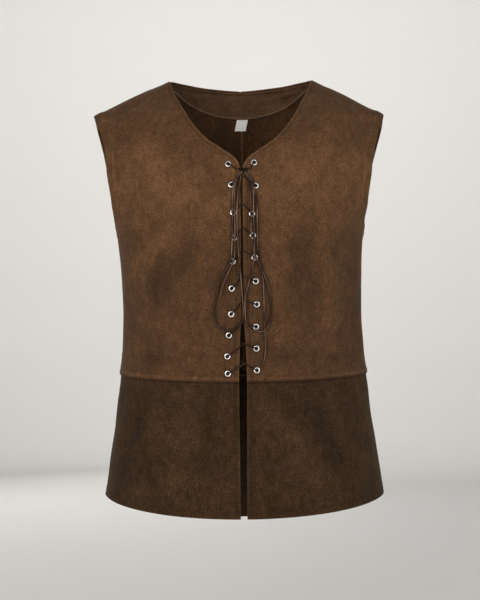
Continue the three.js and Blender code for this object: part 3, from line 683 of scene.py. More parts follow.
def inset_line(values, distance, level, edge):
    """Values where the distance from an edge of the grid first reaches the level."""
    if edge in ("foot", "head"):
        values, distance = values.swapaxes(0, 1), distance.T
    if edge in ("head", "outer"):
        values, distance = values[:, ::-1], distance[:, ::-1]
    i = np.arange(len(distance))
    j = np.maximum(np.argmax(distance >= level, axis=1), 1)
    t = (level - distance[i, j - 1]) / (distance[i, j] - distance[i, j - 1])
    return values[i, j - 1] + (values[i, j] - values[i, j - 1]) * t[:, None]


# %% Profiles that sewing gives to an edge, each a height over the distance from it
def bump_at(distance, place, width, rise):
    """Bell curve across the edge."""
    return rise * np.exp(-(((distance - place) / width) ** 2))


def turned(distance, depth, rise):
    """Doubled cloth from the edge in to depth, with a soft step where it ends."""
    return rise * (1 - smooth((distance - depth + 1.2) / 2.4))


def pucker(distance, angle, down, place, rise=0.22):
    """Cloth drawn up by a stitch line: uneven waves of 8 to 18 mm that fade 5 mm off the line."""
    run = angle * FOLD_ARC + down
    wave = np.sin(run / 1.7 + 2 * np.sin(run / 13)) + 0.6 * np.sin(run / 2.9 + 1)
    return rise * wave * np.exp(-(((distance - place) / 5) ** 2))


# %% A closed wall of cloth from its places
RIM = np.radians([62, 31, 0, -31, -62])


def rim_loop(rows, columns):
    """Numbers of the grid's edge points, once round."""
    grid = np.arange(rows * columns).reshape(rows, columns)
    return np.concatenate([grid[0, :-1], grid[:-1, -1], grid[-1, :0:-1], grid[:0:-1, 0]])


def wall(name, outer, inner, normal, rub, holes=(), inset=0.7, reverse=-0.14):
    """Closed cloth from two grids of points, in millimetres. Their edges move in by the inset
    and a half-round rim joins them. Cells within a hole's radius of its centre go, the points
    left inside it move out to its radius, and the two faces join round it. The rubbing on the
    inner face is lower by reverse, because that side of the cloth isn't brushed."""
    rows, columns = outer.shape[:2]
    loop = rim_loop(rows, columns)
    outer, inner, normal = (a.reshape(-1, 3).copy() for a in (outer, inner, normal))
    tangent = unit(np.roll(outer[loop], -1, 0) - np.roll(outer[loop], 1, 0))
    out = unit(np.cross(tangent, normal[loop]))
    out *= np.sign(((outer[loop] - outer.mean(0)) * out).sum())
    outer[loop] -= out * inset
    inner[loop] -= out * inset
    middle, half = (outer[loop] + inner[loop]) / 2, (outer[loop] - inner[loop]) / 2
    rims = [middle + half * math.sin(a) + out * inset * math.cos(a) for a in RIM]
    cells = grid_faces(rows, columns)
    for centre, axis, radius in holes:
        off = outer - centre
        off -= (off @ axis)[:, None] * axis
        reach = np.linalg.norm(off, axis=1)
        near = np.linalg.norm(outer - centre, axis=1) < 4 * radius
        keep = ~((np.linalg.norm(off[cells].mean(1), axis=1) < radius) & near[cells].all(1))
        cells = cells[keep]
        inside = near & (reach < radius)
        push = off[inside] * (radius / np.maximum(reach[inside], 0.3) - 1)[:, None]
        outer[inside] += push
        inner[inside] += push
    count = len(outer)
    edges = np.vstack([cells[:, [i, (i + 1) % 4]] for i in range(4)])
    key = np.sort(edges, 1) @ np.array([count, 1])
    _, first, seen = np.unique(key, return_index=True, return_counts=True)
    single = edges[first[seen == 1]]
    on_rim = np.zeros(count, bool)
    on_rim[loop] = True
    bore = single[~on_rim[single].all(1)]
    bores = np.stack([bore[:, 1], bore[:, 0], bore[:, 0] + count, bore[:, 1] + count], 1)
    rim_numbers = 2 * count + np.arange(len(RIM) * len(loop)).reshape(len(RIM), len(loop))
    ladder = np.vstack([loop[None], rim_numbers, loop[None] + count])
    after = np.roll(ladder, -1, 1)
    rim = np.stack([after[:-1], ladder[:-1], ladder[1:], after[1:]], -1).reshape(-1, 4)
    points = np.vstack([outer, inner] + rims) / 1000
    used = np.zeros(len(points), bool)
    faces = np.vstack([cells, cells[:, ::-1] + count, bores, rim])
    used[faces.ravel()] = True
    number = np.cumsum(used) - 1
    rub = rub.ravel()
    marks = np.concatenate([rub, rub + reverse] + [rub[loop]] * len(RIM))
    return make_mesh(name, points[used], [number[faces]], rub=marks[used])


# %% Lines of stitches
def unit_bead(sides=5, rings=(-48, 0, 48)):
    """Small closed bead of length one along x: rings of points between two poles."""
    turn = np.linspace(0, 2 * math.pi, sides, endpoint=False)
    up = np.radians(np.array(rings, float))[:, None]
    ring = np.stack([np.sin(up) + 0 * turn, np.cos(up) * np.cos(turn), np.cos(up) * np.sin(turn)], -1)
    points = np.vstack([ring.reshape(-1, 3), [(-1, 0, 0), (1, 0, 0)]]) / 2
    fan, last = np.arange(sides), (len(rings) - 1) * sides
    low = np.stack([np.full(sides, len(points) - 2), (fan + 1) % sides, fan], -1)
    high = np.stack([np.full(sides, len(points) - 1), last + fan, last + (fan + 1) % sides], -1)
    quads = grid_faces(len(rings), sides, closed=True)
    return points, np.vstack([low, high, quads[:, [0, 1, 2]], quads[:, [0, 2, 3]]])


BEAD_POINTS, BEAD_FACES = unit_bead()


def stitches(line, normal, pitch, length, thick, lift, slant=0.0):
    """A bead at every pitch along a line of cloth, turned by slant in the cloth's face."""
    run = run_along(line)
    at = np.arange(pitch, run[-1] - pitch, pitch)

    def sample(values):
        """Values of the line's points at the beads."""
        return np.stack([np.interp(at, run, values[:, k]) for k in range(3)], -1)

    centre, up = sample(line), unit(sample(normal))
    ahead = unit(sample(np.gradient(line, axis=0)))
    side = unit(np.cross(up, ahead))
    turn = slant + 0.12 * np.sin(at * 1.7)
    ahead = ahead * np.cos(turn)[:, None] + side * np.sin(turn)[:, None]
    side = unit(np.cross(up, ahead))
    axes = np.stack([ahead * length, side * thick, up * thick], 1)
    points = np.einsum("pk,nkc->npc", BEAD_POINTS, axes) + (centre + up * lift)[:, None]
    faces = BEAD_FACES[None] + (np.arange(len(at)) * len(BEAD_POINTS))[:, None, None]
    return points.reshape(-1, 3), faces.reshape(-1, 3)


def thread_piece(name, runs, slot, material):
    """All stitch lines of one piece of cloth as one mesh. Each run is what stitches() gives."""
    offsets = np.cumsum([0] + [len(points) for points, _ in runs])
    points = np.vstack([points for points, _ in runs]) / 1000
    faces = np.vstack([faces + offset for (_, faces), offset in zip(runs, offsets)])
    piece = make_mesh(name, points, [faces], rub=np.full(len(points), 0.5))
    return stand_for(piece, slot, material)


TOPSTITCH = {"pitch": 3.2, "length": 2.6, "thick": 0.55, "lift": 0.12}
# how far inside each edge its line of topstitching runs
STITCHED = {"neck": 5, "slit": 6.8, "waist": 2.8, "hem": 10.5}


def topstitch(outer, normal, away, kind, edge):
    """A line of topstitching on the outer face, beside an edge of the grid."""
    line, out = (inset_line(values, away, STITCHED[kind], edge) for values in (outer, normal))
    return stitches(line, out, **TOPSTITCH)


print("bead:", len(BEAD_POINTS), "points,", len(BEAD_FACES), "faces")

# %% [markdown]
# ## Bodice fronts
#
# Each front has a turned and stitched neck edge, a turned centre edge that carries ten eyelets,
# an armhole with a 15 mm facing behind it whose edge shows as a soft step, and a lapped hem
# at the waist with a ridge over its stitch line. The folds calm down round each eyelet,
# because its flange clamps the cloth flat.

# %% Edges of a bodice half
UNDERARM_SHARE = 7 / 18
NECK_SHARE = 9 / 15
NECK_COLUMN, SHOULDER_COLUMNS = 92, 60
UNDERARM_ROW, ARMHOLE_ROWS = 84, 92
BODICE_ACROSS = steps([0, NECK_SHARE, 1], [NECK_COLUMN, SHOULDER_COLUMNS])
BODICE_UP = steps([0, UNDERARM_SHARE, 1], [UNDERARM_ROW, ARMHOLE_ROWS])


def dipping(line, angle):
    """Waist and hem: side height plus dip times cos squared."""
    return line[0] + line[1] * np.cos(angle) ** 2


def outer_edge(face, share):
    """Side seam up to the underarm, then the armhole as a half-ellipse up to the tip."""
    sign = -1 if face == "front" else 1
    straight = blend(WAIST[0], UNDERARM_DOWN, share / UNDERARM_SHARE)
    turn = math.pi * (1 - share) / (1 - UNDERARM_SHARE)
    round_ = (TIP_DOWN + UNDERARM_DOWN) / 2 - (UNDERARM_DOWN - TIP_DOWN) / 2 * np.cos(turn)
    scoop = np.sin(turn) - ARMHOLE_SLANT * np.sin(2 * turn)
    below = share <= UNDERARM_SHARE
    down = np.where(below, straight, round_)
    depth = np.where(below, SEAM / 2, np.maximum(ARMHOLE_DEPTH[face] * scoop, SEAM / 2))
    return places(SIDE + sign * angle_from_side(depth, down, face), down)


def shoulder_seam(face, share):
    """From the neck point to the shoulder tip."""
    sign = -1 if face == "front" else 1
    down = TIP_DOWN * share
    return places(SIDE + sign * angle_from_side(SEAM / 2, down, face), down)


def neckline_place(share):
    """Place on the front neckline by length from the slit."""
    run = run_along(NECKLINE)
    across, down = (np.interp(share * run[-1], run, NECKLINE[:, k]) for k in (0, 1))
    limit = shoulder_seam("front", np.zeros(1))[0, 0]
    return places(np.minimum(angle_across(across, down), limit), down)


def slit_place(down):
    """Centre-front edge."""
    return places(angle_across(between(SLIT, down, 1), down), down)


def head_edge(neck, face):
    """Neckline up to its share of the head, then the shoulder seam."""
    return lambda share: np.where(
        (share < NECK_SHARE)[:, None],
        neck(np.minimum(share / NECK_SHARE, 1)),
        shoulder_seam(face, np.maximum((share - NECK_SHARE) / (1 - NECK_SHARE), 0)),
    )


def waist_edge(inner_angle, outer_angle):
    """Waist between two angles."""
    def edge(share):
        """Place at a share of the waist."""
        angle = blend(inner_angle, outer_angle, share)
        return places(angle, dipping(WAIST, angle))

    return edge


FRONT = patch(
    waist_edge(slit_place(np.array([sum(WAIST)]))[0, 0], outer_edge("front", np.zeros(1))[0, 0]),
    head_edge(neckline_place, "front"),
    lambda share: slit_place(blend(sum(WAIST), NECKLINE[0, 1], share)),
    lambda share: outer_edge("front", share),
    BODICE_ACROSS, BODICE_UP,
)

# %% Places of the eyelets
# across and down, from the top, for the side at -X and the side at +X
EYELETS = {
    -1: np.array([(20.5, 148), (16, 181), (13.2, 225), (11.2, 264), (14.8, 301), (16.6, 343),
                  (17.6, 383), (21.6, 416), (24.2, 449), (23.7, 476)]),
    1: np.array([(20, 146), (22, 183), (16.2, 227), (17.2, 261), (19.4, 295), (21, 332),
                 (22.4, 368), (20.9, 403), (21.3, 437), (21.7, 471)]),
}
SIDE_WORD = {-1: "left", 1: "right"}
EYELET_HOLE = 3.7  # in the cloth: wider than the barrel, hidden by the flange
CALM = {"from": 5.5, "over": 9}  # off an eyelet's centre: its flange, and the cloth round it


def eyelet_centres(side):
    """Points on the cloth and outward axes of one side's ten eyelets."""
    across, down = EYELETS[side].T
    angle = side * angle_across(across, down)
    return cloth_point(angle, down), body_normal(angle, down)


def calm_by_eyelets(angle, down, side):
    """1 away from the eyelets and 0 under their flanges, so that fine folds stop there."""
    points = body_point(angle, down)
    nearest = np.full(angle.shape, 99.0)
    for centre in eyelet_centres(side)[0]:
        nearest = np.minimum(nearest, np.linalg.norm(points - centre, axis=-1))
    return smooth((nearest - CALM["from"]) / CALM["over"]), nearest


# %% What sewing does to the cloth near an edge
# For each kind of edge: depth and rise of the turned cloth, place and height of the puckers,
# and bells (place, width, size) of its height and of its tone: paler right at the edge,
# painted shade on stitch lines, seam lines and the waist's edge, and a painted highlight on
# the ridges by the waist, the armhole's facing and the seams.
EDGES = {
    "neck": {
        "turned": (8, 0.35), "pucker": (STITCHED["neck"], 0.16),
        "height": [(STITCHED["neck"], 1.0, -0.5), (1.0, 1.6, 0.35)],
        "rub": [(0, 1.4, 0.24), (STITCHED["neck"], 1.0, -0.14)],
    },
    "slit": {
        "turned": (26, 0.25), "pucker": (STITCHED["slit"], 0.12),
        "height": [(STITCHED["slit"], 1.0, -0.45), (0.8, 1.5, 0.4)],
        "rub": [(0, 1.5, 0.26), (STITCHED["slit"], 0.9, -0.14)],
    },
    "armhole": {
        "turned": (15, 0.75), "pucker": (13, 0.16),
        "height": [(0.8, 1.8, 0.3)], "rub": [(0, 1.5, 0.16), (14.5, 1.6, 0.14)],
    },
    "waist": {
        "turned": (0, 0.0), "pucker": (5, 0.14),
        "height": [(5.6, 2.4, 0.8), (2.0, 1.1, -0.5)], "rub": [(5.6, 2.6, 0.15), (0.2, 1.0, -0.3)],
    },
    "hem": {
        "turned": (12, 0.3), "pucker": (STITCHED["hem"], 0.14),
        "height": [(STITCHED["hem"], 1.0, -0.4), (0.8, 1.5, 0.3)],
        "rub": [(0, 1.5, 0.3), (STITCHED["hem"], 0.9, -0.1)],
    },
    "join": {
        "turned": (0, 0.0), "pucker": (2, 0.18),
        "height": [(0, 2.4, -1.0)], "rub": [(0, 1.3, -0.25), (3.4, 1.6, 0.1)],
    },
}


def finish_edges(points, lines, angle, down, kinds):
    """Distances from the edges, and the sums of their heights and of their tone, with its painted
    shade and highlight.
    """
    away, rise, rub = {}, np.zeros(angle.shape), np.zeros(angle.shape)
    for name, kind in kinds.items():
        edge = EDGES[kind]
        off = away[name] = distance_to(points, lines[name])
        rise += turned(off, *edge["turned"]) + pucker(off, angle, down, *edge["pucker"])
        rise += sum(bump_at(off, *bell) for bell in edge["height"])
        rub += sum(bump_at(off, *bell) for bell in edge["rub"])
    return away, rise, rub


CORNER_WIDTH = 9


def corner_calm(points):
    """0 at the corner of the neck and the shoulder, 1 from two widths off it."""
    corner = points[-1, NECK_COLUMN]
    return 1 - np.exp(-((np.linalg.norm(points - corner, axis=-1) / CORNER_WIDTH) ** 2))


def cloth_faces(angle, down, rise, lift, thickness, fine=1.0, inner_rise=0.0):
    """Outer and inner face and the outward direction, in millimetres."""
    outer = cloth_point(angle, down, lift + rise, fine)
    inner = cloth_point(angle, down, lift - thickness + 0.25 * rise - inner_rise, fine)
    return outer, inner, body_normal(angle, down)


# painted light and shade in the cloth's tone: a painted pool of light over the chest with
# painted shade away from it and at the sides; folds paler on ridges and darker in troughs,
# partly from wear and partly as painted light and shade
PAINTED_CHEST_LIGHT = {"share": 0.2, "down": 175, "reach": 95, "elsewhere": 0.1}
PAINTED_SIDE_SHADE = -0.13
FOLD_WEAR_AND_SHADE, NARROW_TONE = 0.055, 1.6


def worn_and_lit(angle, down, rub):
    """Paler on ridges and darker in troughs, partly rubbed and partly painted highlight and
    shade, with a broad painted pool of light over the chest and the upper back, and painted
    shade low, high and at the sides."""
    wrapped = np.arctan2(np.sin(angle), np.cos(angle))
    narrow = NARROW_TONE * fold_rise(NARROW_FOLDS, wrapped, down)
    folds = fold_rise(WIDE_FOLDS, wrapped, down) + narrow
    # a painted pool of light at chest height, with painted shade above and below it
    off_chest = (down - PAINTED_CHEST_LIGHT["down"]) / PAINTED_CHEST_LIGHT["reach"]
    chest = PAINTED_CHEST_LIGHT["share"] * np.exp(-(off_chest**2)) - PAINTED_CHEST_LIGHT["elsewhere"]
    # painted shade at the sides, which turn away from the lamps
    sides = PAINTED_SIDE_SHADE * np.sin(angle) ** 8
    return np.clip(0.5 + chest + sides + FOLD_WEAR_AND_SHADE * folds + rub, 0, 1)


# %% The two fronts, and what they share with the backs
def mirrored(grid, side):
    """The same places on the other side of the body."""
    return grid * np.array([side, 1])


def measure(name, outer):
    """Flat width, length and area of a piece on the body, from the lengths of its grid's lines."""
    width = np.linalg.norm(np.diff(outer, axis=1), axis=2).sum(1).max()
    length = np.linalg.norm(np.diff(outer, axis=0), axis=2).sum(0).max()
    a, b = np.diff(outer, axis=0)[:, :-1], np.diff(outer, axis=1)[:-1]
    area = np.linalg.norm(np.cross(a, b), axis=2).sum()
    print(name, "width, length mm, area m2:", round(width), round(length), round(area / 1e6, 4))


NECK_STITCHED = NECK_COLUMN - 6  # the neck's stitches stop short of its corner
FLANGE_DENT = 0.25  # how deep a flange presses the cloth in
# shade round a flange and under a free lace: a bell's place, width and size
FLANGE_SHADE, LACE_SHADE = (6, 2, -0.12), (0, 2.0, -0.4)


def bodice_half(face, half, side):
    """One front with its ten holes, or one back, and its lines of stitches."""
    name = f"{face}_bodice_{SIDE_WORD[side]}"
    angle, down = np.moveaxis(mirrored(half, side), -1, 0)
    base = cloth_point(angle, down)
    lines = {"middle": base[:, 0], "neck": base[-1, : NECK_COLUMN + 1],
             "shoulder": base[-1, NECK_COLUMN:], "armhole": base[UNDERARM_ROW:, -1],
             "side": base[: UNDERARM_ROW + 1, -1], "waist": base[0]}
    kinds = {"middle": "slit" if face == "front" else "join", "neck": "neck", "shoulder": "join",
             "armhole": "armhole", "side": "join", "waist": "waist"}
    away, rise, rub = finish_edges(base, lines, angle, down, kinds)
    rise, rub = rise * corner_calm(base), rub * corner_calm(base)
    calm, holes = 1.0, []
    if face == "front":
        calm, nearest = calm_by_eyelets(angle, down, side)
        rise = rise * calm - FLANGE_DENT * (1 - calm)
        rub = rub + bump_at(nearest, *FLANGE_SHADE)
        for line in lace_lines:
            rub = rub + bump_at(distance_to(base, line), *LACE_SHADE)
        holes = [(centre, axis, EYELET_HOLE) for centre, axis in zip(*eyelet_centres(side))]
    outer, inner, normal = cloth_faces(angle, down, rise, 0, CLOTH, calm)
    measure(name, outer)
    piece = wall(name + "_cloth", outer, inner, normal, worn_and_lit(angle, down, rub), holes)
    stand_for(piece, "suede_bodice", BODICE_SUEDE, name)
    neck = (values[:, :NECK_STITCHED] for values in (outer, normal, away["neck"]))
    runs = [topstitch(*neck, "neck", "head"), topstitch(outer, normal, away["waist"], "waist", "foot")]
    if face == "front":
        runs.insert(0, topstitch(outer, normal, away["middle"], "slit", "inner"))
    return piece, thread_piece(name + "_topstitch", runs, "suede_bodice", THREAD)


front_pieces = {side: bodice_half("front", FRONT, side) for side in (-1, 1)}

# %% [markdown]
# ## Bodice backs
#
# The two backs meet in a seam down the centre. Its allowances, like those of every seam, are
# on the inside. They are pieces of their own here: closed strips under the panels that also
# keep the daylight out of the seams.

# %% The two backs
def centre_back(down):
    """Angle of the centre-back seam's edge on the +X half."""
    return math.pi - SEAM / 2 / between(SECTIONS, down, 1)


def back_neck(share):
    """From the centre back to the neck point."""
    centre = centre_back(np.array([NECK_BACK_DROP]))[0]
    seam = shoulder_seam("back", np.zeros(1))[0, 0]
    return places(blend(centre, seam, share), NECK_BACK_DROP * (1 - share) ** 2)


def centre_edge(share):
    """Centre-back seam from the waist up to the neck."""
    down = blend(sum(WAIST), NECK_BACK_DROP, share)
    return places(centre_back(down), down)


BACK = patch(
    waist_edge(centre_back(np.array([sum(WAIST)]))[0], outer_edge("back", np.zeros(1))[0, 0]),
    head_edge(back_neck, "back"), centre_edge, lambda share: outer_edge("back", share),
    BODICE_ACROSS, BODICE_UP,
)
back_pieces = {side: bodice_half("back", BACK, side) for side in (-1, 1)}

# %% [markdown]
# ## Skirt
#
# The skirt's top edge is tucked up behind the bodice, so the bodice laps over it and throws a
# thin shadow on it. The two fronts leave an opening down the middle; the back is one piece.

# %% Skirt grids and pieces
SKIRT_MIDDLE = 600
SKIRT_LIFT = -(CLOTH + LAP_GAP)
SKIRT_UP = steps([0, 1], [112])


def skirt_grid(start_angle, end_angle, hem, across):
    """Columns at set shares between two edges; rows from the hem up to the tucked edge."""
    at = np.array([SKIRT_MIDDLE], float)
    middle = blend(start_angle(at)[0], end_angle(at)[0], across)
    top, foot = dipping(WAIST, middle) - LAP, dipping(hem, middle)
    down = blend(foot[None], top[None], SKIRT_UP[:, None])
    return places(blend(start_angle(down), end_angle(down), across[None]), down)


def front_side(down):
    """Front edge of the side seam."""
    return SIDE - angle_from_side(SEAM / 2, down, "front")


def back_side(down):
    """Back edge of the side seam."""
    return SIDE + angle_from_side(SEAM / 2, down, "back")


FRONT_SKIRT = skirt_grid(
    lambda down: slit_place(down)[..., 0], front_side, HEM, steps([0, 1], [150])
)
BACK_SKIRT = skirt_grid(
    back_side, lambda down: 2 * math.pi - back_side(down), BACK_HEM, steps([0, 1], [270])
)


# below the seam: where the skirt's folds start and grow, and how dark and deep its shade is
SKIRT_FREE = {"from": 1, "over": 14}
SEAM_SHADE = {"share": 0.4, "from": -0.5, "over": 3.5}


def skirt_piece(name, grid, kinds):
    """One skirt piece with its lines of stitches. Its folds die away into the seam, and the
    bodice's edge shades it."""
    angle, down = np.moveaxis(grid, -1, 0)
    base = cloth_point(angle, down, SKIRT_LIFT)
    lines = {"inner": base[:, 0], "outer": base[:, -1], "foot": base[0]}
    away, rise, rub = finish_edges(base, lines, angle, down, kinds)
    below_seam = down - dipping(WAIST, angle)
    free = smooth((below_seam - SKIRT_FREE["from"]) / SKIRT_FREE["over"])
    lit = smooth((below_seam - SEAM_SHADE["from"]) / SEAM_SHADE["over"])
    rub = rub - SEAM_SHADE["share"] * (1 - lit)
    outer, inner, normal = cloth_faces(angle, down, rise * free, SKIRT_LIFT, CLOTH, free)
    measure(name, outer)
    piece = wall(name + "_cloth", outer, inner, normal, worn_and_lit(angle, down, rub))
    stand_for(piece, "suede_skirt", SKIRT_SUEDE, name)
    shown = slice(int(np.argmax(below_seam[:, 0] < 2)))
    runs = []
    for edge, kind in kinds.items():
        if kind in STITCHED:
            rows = slice(None) if edge == "foot" else shown
            runs.append(topstitch(outer[rows], normal[rows], away[edge][rows], kind, edge))
    return piece, thread_piece(name + "_topstitch", runs, "suede_skirt", THREAD)


FRONT_KINDS = {"inner": "slit", "outer": "join", "foot": "hem"}
BACK_KINDS = {"inner": "join", "outer": "join", "foot": "hem"}
skirt_pieces = {
    side: skirt_piece(f"front_skirt_{SIDE_WORD[side]}", mirrored(FRONT_SKIRT, side), FRONT_KINDS)
    for side in (-1, 1)
}
skirt_pieces[0] = skirt_piece("back_skirt", BACK_SKIRT, BACK_KINDS)

# %% Allowances behind the seams
ALLOWANCE = {"half": 8, "wall": 0.9, "under": 0.15}
# name, first and last distance down, rows, lift of the face it is sewn to, slot and material
SEAM_STRIPS = (
    ("shoulder", 9, TIP_DOWN - 1, 30, 0, "suede_bodice", BODICE_SUEDE),
    ("side", UNDERARM_DOWN + 2, 471, 90, 0, "suede_bodice", BODICE_SUEDE),
    ("skirt", 476, HEM[0] - 2, 80, SKIRT_LIFT, "suede_skirt", SKIRT_SUEDE),
)
# the centre-back strip: places across, first and last distance down, thickness
CENTRE_STRIP = {
    "across": (-0.5, 3.4), "down": (NECK_BACK_DROP + 63.5, sum(WAIST) - LAP - SEAM), "wall": 1.9
}


def allowance(name, grid, lift, slot, material, wall_thickness=ALLOWANCE["wall"], rub=0.4):
    """A strip of cloth behind a seam: a grid of places, just under the face it is sewn to."""
    angle, down = np.moveaxis(grid, -1, 0)
    top = lift - CLOTH - ALLOWANCE["under"]
    outer, inner = (cloth_point(angle, down, level, 1.0) for level in (top, top - wall_thickness))
    piece = wall(name, outer, inner, body_normal(angle, down), rub + 0 * angle, inset=0.35)
    return stand_for(piece, slot, material)


def beside_seam(side, start, stop, rows):
    """Places up to half an allowance before and behind the line of the side and shoulder."""
    down = np.linspace(start, stop, rows)[:, None]
    depth = np.linspace(-ALLOWANCE["half"], ALLOWANCE["half"], 7)[None]
    off = np.where(depth < 0, -angle_from_side(-np.minimum(depth, 0), down, "front"),
                   angle_from_side(np.maximum(depth, 0), down, "back"))
    return mirrored(places(SIDE + off, down), side)


for side in (-1, 1):
    for part, start, stop, rows, *finish in SEAM_STRIPS:
        word = SIDE_WORD[side]
        strip = beside_seam(side, start, stop, rows)
        allowance(f"{part}_allowance_{word}", strip, *finish)
down = np.linspace(*CENTRE_STRIP["down"], 150)[:, None]
across = np.linspace(*CENTRE_STRIP["across"], 6)[None]
strip = places(math.pi - across / between(SECTIONS, down, 1), down)
# painted highlight: the centre-back strip lies in shade and is painted pale as if lit
allowance(
    "centre_back_allowance", strip, 0, "suede_bodice", BODICE_SUEDE, CENTRE_STRIP["wall"], rub=0.85
)

# %% [markdown]
# ## Neck facing and label
#
# A crescent of the same suede backs the neck inside. Its lower edge is overlocked: slanted
# threads wrap the raw edge. A bare satin label hangs from the middle of it.

# %% Facing
FACING = {"centre": 42, "seam": 5, "spread": 0.54, "wall": 1.2, "below": 1.5, "margin": 0.035}
FACING_LIFT = -(CLOTH + LAP_GAP)
FACING_CREASES = np.array([
    (158, 19, 132, 8, 2.0, -1.0), (149, 25, 126, 12, 2.2, -0.8), (166, 12, 146, 7, 2.0, -0.8),
    (172, 30, 150, 31, 2.6, 0.6), (202, 22, 226, 12, 2.6, -0.6), (190, 10, 214, 7, 2.0, -0.5),
])


def facing_grid(across, up):
    """The crescent: its depth falls off from the centre back as a bell curve of the angle."""
    start = SIDE + FACING["margin"]
    angle = blend(start, 2 * math.pi - start, across)
    centred = 1 - np.abs(angle - math.pi) / SIDE
    top = NECK_BACK_DROP * centred**2 + FACING["below"]
    off = (angle - math.pi) / FACING["spread"]
    depth = FACING["seam"] + (FACING["centre"] - FACING["seam"]) * np.exp(-(off**2))
    return places(angle[None], top[None] + depth[None] * (1 - up[:, None]))


grid = facing_grid(steps([0, 1], [230]), steps([0, 1], [36]))
angle, down = grid[..., 0], grid[..., 1]
base = cloth_point(angle, down, FACING_LIFT)
raw = distance_to(base, base[0])
under = distance_to(base, base[-1])
loose = 0.35 * np.sin(angle * 31 + 1) * np.sin(down / 6) * smooth(raw / 8)
creases = fold_rise(FACING_CREASES, angle, down)
inside = loose + creases + bump_at(raw, 1.5, 1.8, 0.4) + bump_at(under, 4.5, 1.4, -0.6)
outer, inner, normal = cloth_faces(angle, down, 0 * raw, FACING_LIFT, FACING["wall"], 0.4, inside)
measure("back_neck_facing", outer)
# tone of the facing: paler at its raw edge, painted shade along the groove 4.5 mm under its top, and
# its creases paler on ridges and darker in troughs, partly wear and partly painted light and shade
rub = 0.5 + bump_at(raw, 0, 2.0, 0.2) + bump_at(under, 4.5, 1.8, -0.3) + 0.22 * creases
facing = wall("back_neck_facing_cloth", outer, inner, normal, rub, reverse=0)
stand_for(facing, "suede_facing", FACING_SUEDE, "back_neck_facing")
# distance off the raw edge, length of a stitch and its slant: the wraps, and the chain beside
OVERLOCK = ((1.7, 3.4, 1.15), (3.2, 1.7, 0.15))
overlock = [
    stitches(inset_line(inner, raw, level, "foot"), -inset_line(normal, raw, level, "foot"),
             pitch=1.5, length=length, thick=0.8, lift=0.25, slant=slant)
    for level, length, slant in OVERLOCK
]
overlock_piece = thread_piece("back_neck_facing_overlock", overlock, "suede_facing", EDGE_THREAD)

# %% Label
LABEL = {"width": 17, "length": 18, "wall": 0.6, "across": 2.5, "skew": -3.5, "curl": 6.5}


def label_grid(across, up):
    """A slip of ribbon a little askew: its free end swings to one side."""
    top = NECK_BACK_DROP + FACING["below"] + FACING["centre"] + SEAM
    low = 1 - up[:, None]
    down = top + LABEL["length"] * low
    x = LABEL["across"] + (across[None] - 0.5) * LABEL["width"] + LABEL["skew"] * low
    return places(math.pi - x / between(SECTIONS, down, 1), down)


grid = label_grid(np.linspace(0, 1, 25), np.linspace(0, 1, 25))
angle, down = grid[..., 0], grid[..., 1]
hang = (down - down.min()) / LABEL["length"]
curl = LABEL["curl"] * hang**1.3 + 0.25 * np.sin(hang * 6)
outer = cloth_point(angle, down, FACING_LIFT - curl)
inner = cloth_point(angle, down, FACING_LIFT - LABEL["wall"] - curl)
measure("care_label", outer)
label = wall("care_label_ribbon", outer, inner, body_normal(angle, down), 0 * angle, inset=0.25)
stand_for(label, "ribbon", SATIN, "care_label")

# %% [markdown]
# ## Flat cuts
#
# Every piece of cloth was cut from the flat. Its width, length and area are those of its
# pattern without seam allowances: less than the rectangle round it, where its edges curve. The
# loop below only goes through the two sides and sets nothing.


for side in (-1, 1):
    word = SIDE_WORD[side]

# %% [markdown]
# ## Eyelets
#
# An eyelet is pressed from thin plated brass: a barrel through the cloth, a domed flange in
# front and a washer rolled over behind. It is a profile turned round the axis that points out
# of the cloth at its place.

# %% Turned eyelets
BARREL = 2.72  # radius of the bore, whose metal is painted dark as shade
# radius and height off the cloth's face, once round the metal
EYELET_PROFILE = np.array([
    (2.7, -2.3), (2.7, -1.0), (2.7, 0.4), (2.76, 0.75), (2.92, 1.03), (3.2, 1.2), (3.6, 1.24),
    (4.1, 1.17), (4.55, 0.98), (4.85, 0.72), (5.0, 0.42), (4.9, 0.3), (4.6, 0.34), (3.0, 0.36),
    (3.0, -2.1), (4.3, -2.15), (4.42, -2.4), (4.2, -2.75), (3.6, -2.9), (2.9, -2.8), (2.6, -2.6),
])


def eyelet(name, centre, axis, segments=40):
    """The profile turned round the axis."""
    side = unit(np.cross(axis, [0, 0, 1.0]))
    up = np.cross(side, axis)
    turn = np.linspace(0, 2 * math.pi, segments, endpoint=False)
    spoke = np.cos(turn)[:, None] * side + np.sin(turn)[:, None] * up
    radius, height = EYELET_PROFILE.T
    points = centre + height[:, None, None] * axis + radius[:, None, None] * spoke[None]
    rows = len(EYELET_PROFILE)
    faces = grid_faces(rows + 1, segments, closed=True) % (rows * segments)
    # painted shade: the metal goes dark inside the bore
    tarnish = np.repeat(1 - smooth((radius - BARREL) / 0.4), segments)
    piece = make_mesh(name + "_metal", points.reshape(-1, 3) / 1000, [faces], tarnish=tarnish)
    return stand_for(piece, "silver_metal", NICKEL, name)


for side in (-1, 1):
    for number, (centre, axis) in enumerate(zip(*eyelet_centres(side)), 1):
        eyelet(f"eyelet_{SIDE_WORD[side]}_{number:02d}", centre, axis)
print("eyelets:", len(EYELETS[-1]) + len(EYELETS[1]))

# %% [markdown]
# ## Lacing
#
# One lace zigzags up the front. Each strand leaves an eyelet to the front, runs up to the slit,
# dives through it, and comes out of the next eyelet on the other side from behind. The strand
# is worked out eyelet by eyelet from the same heights as its solid.

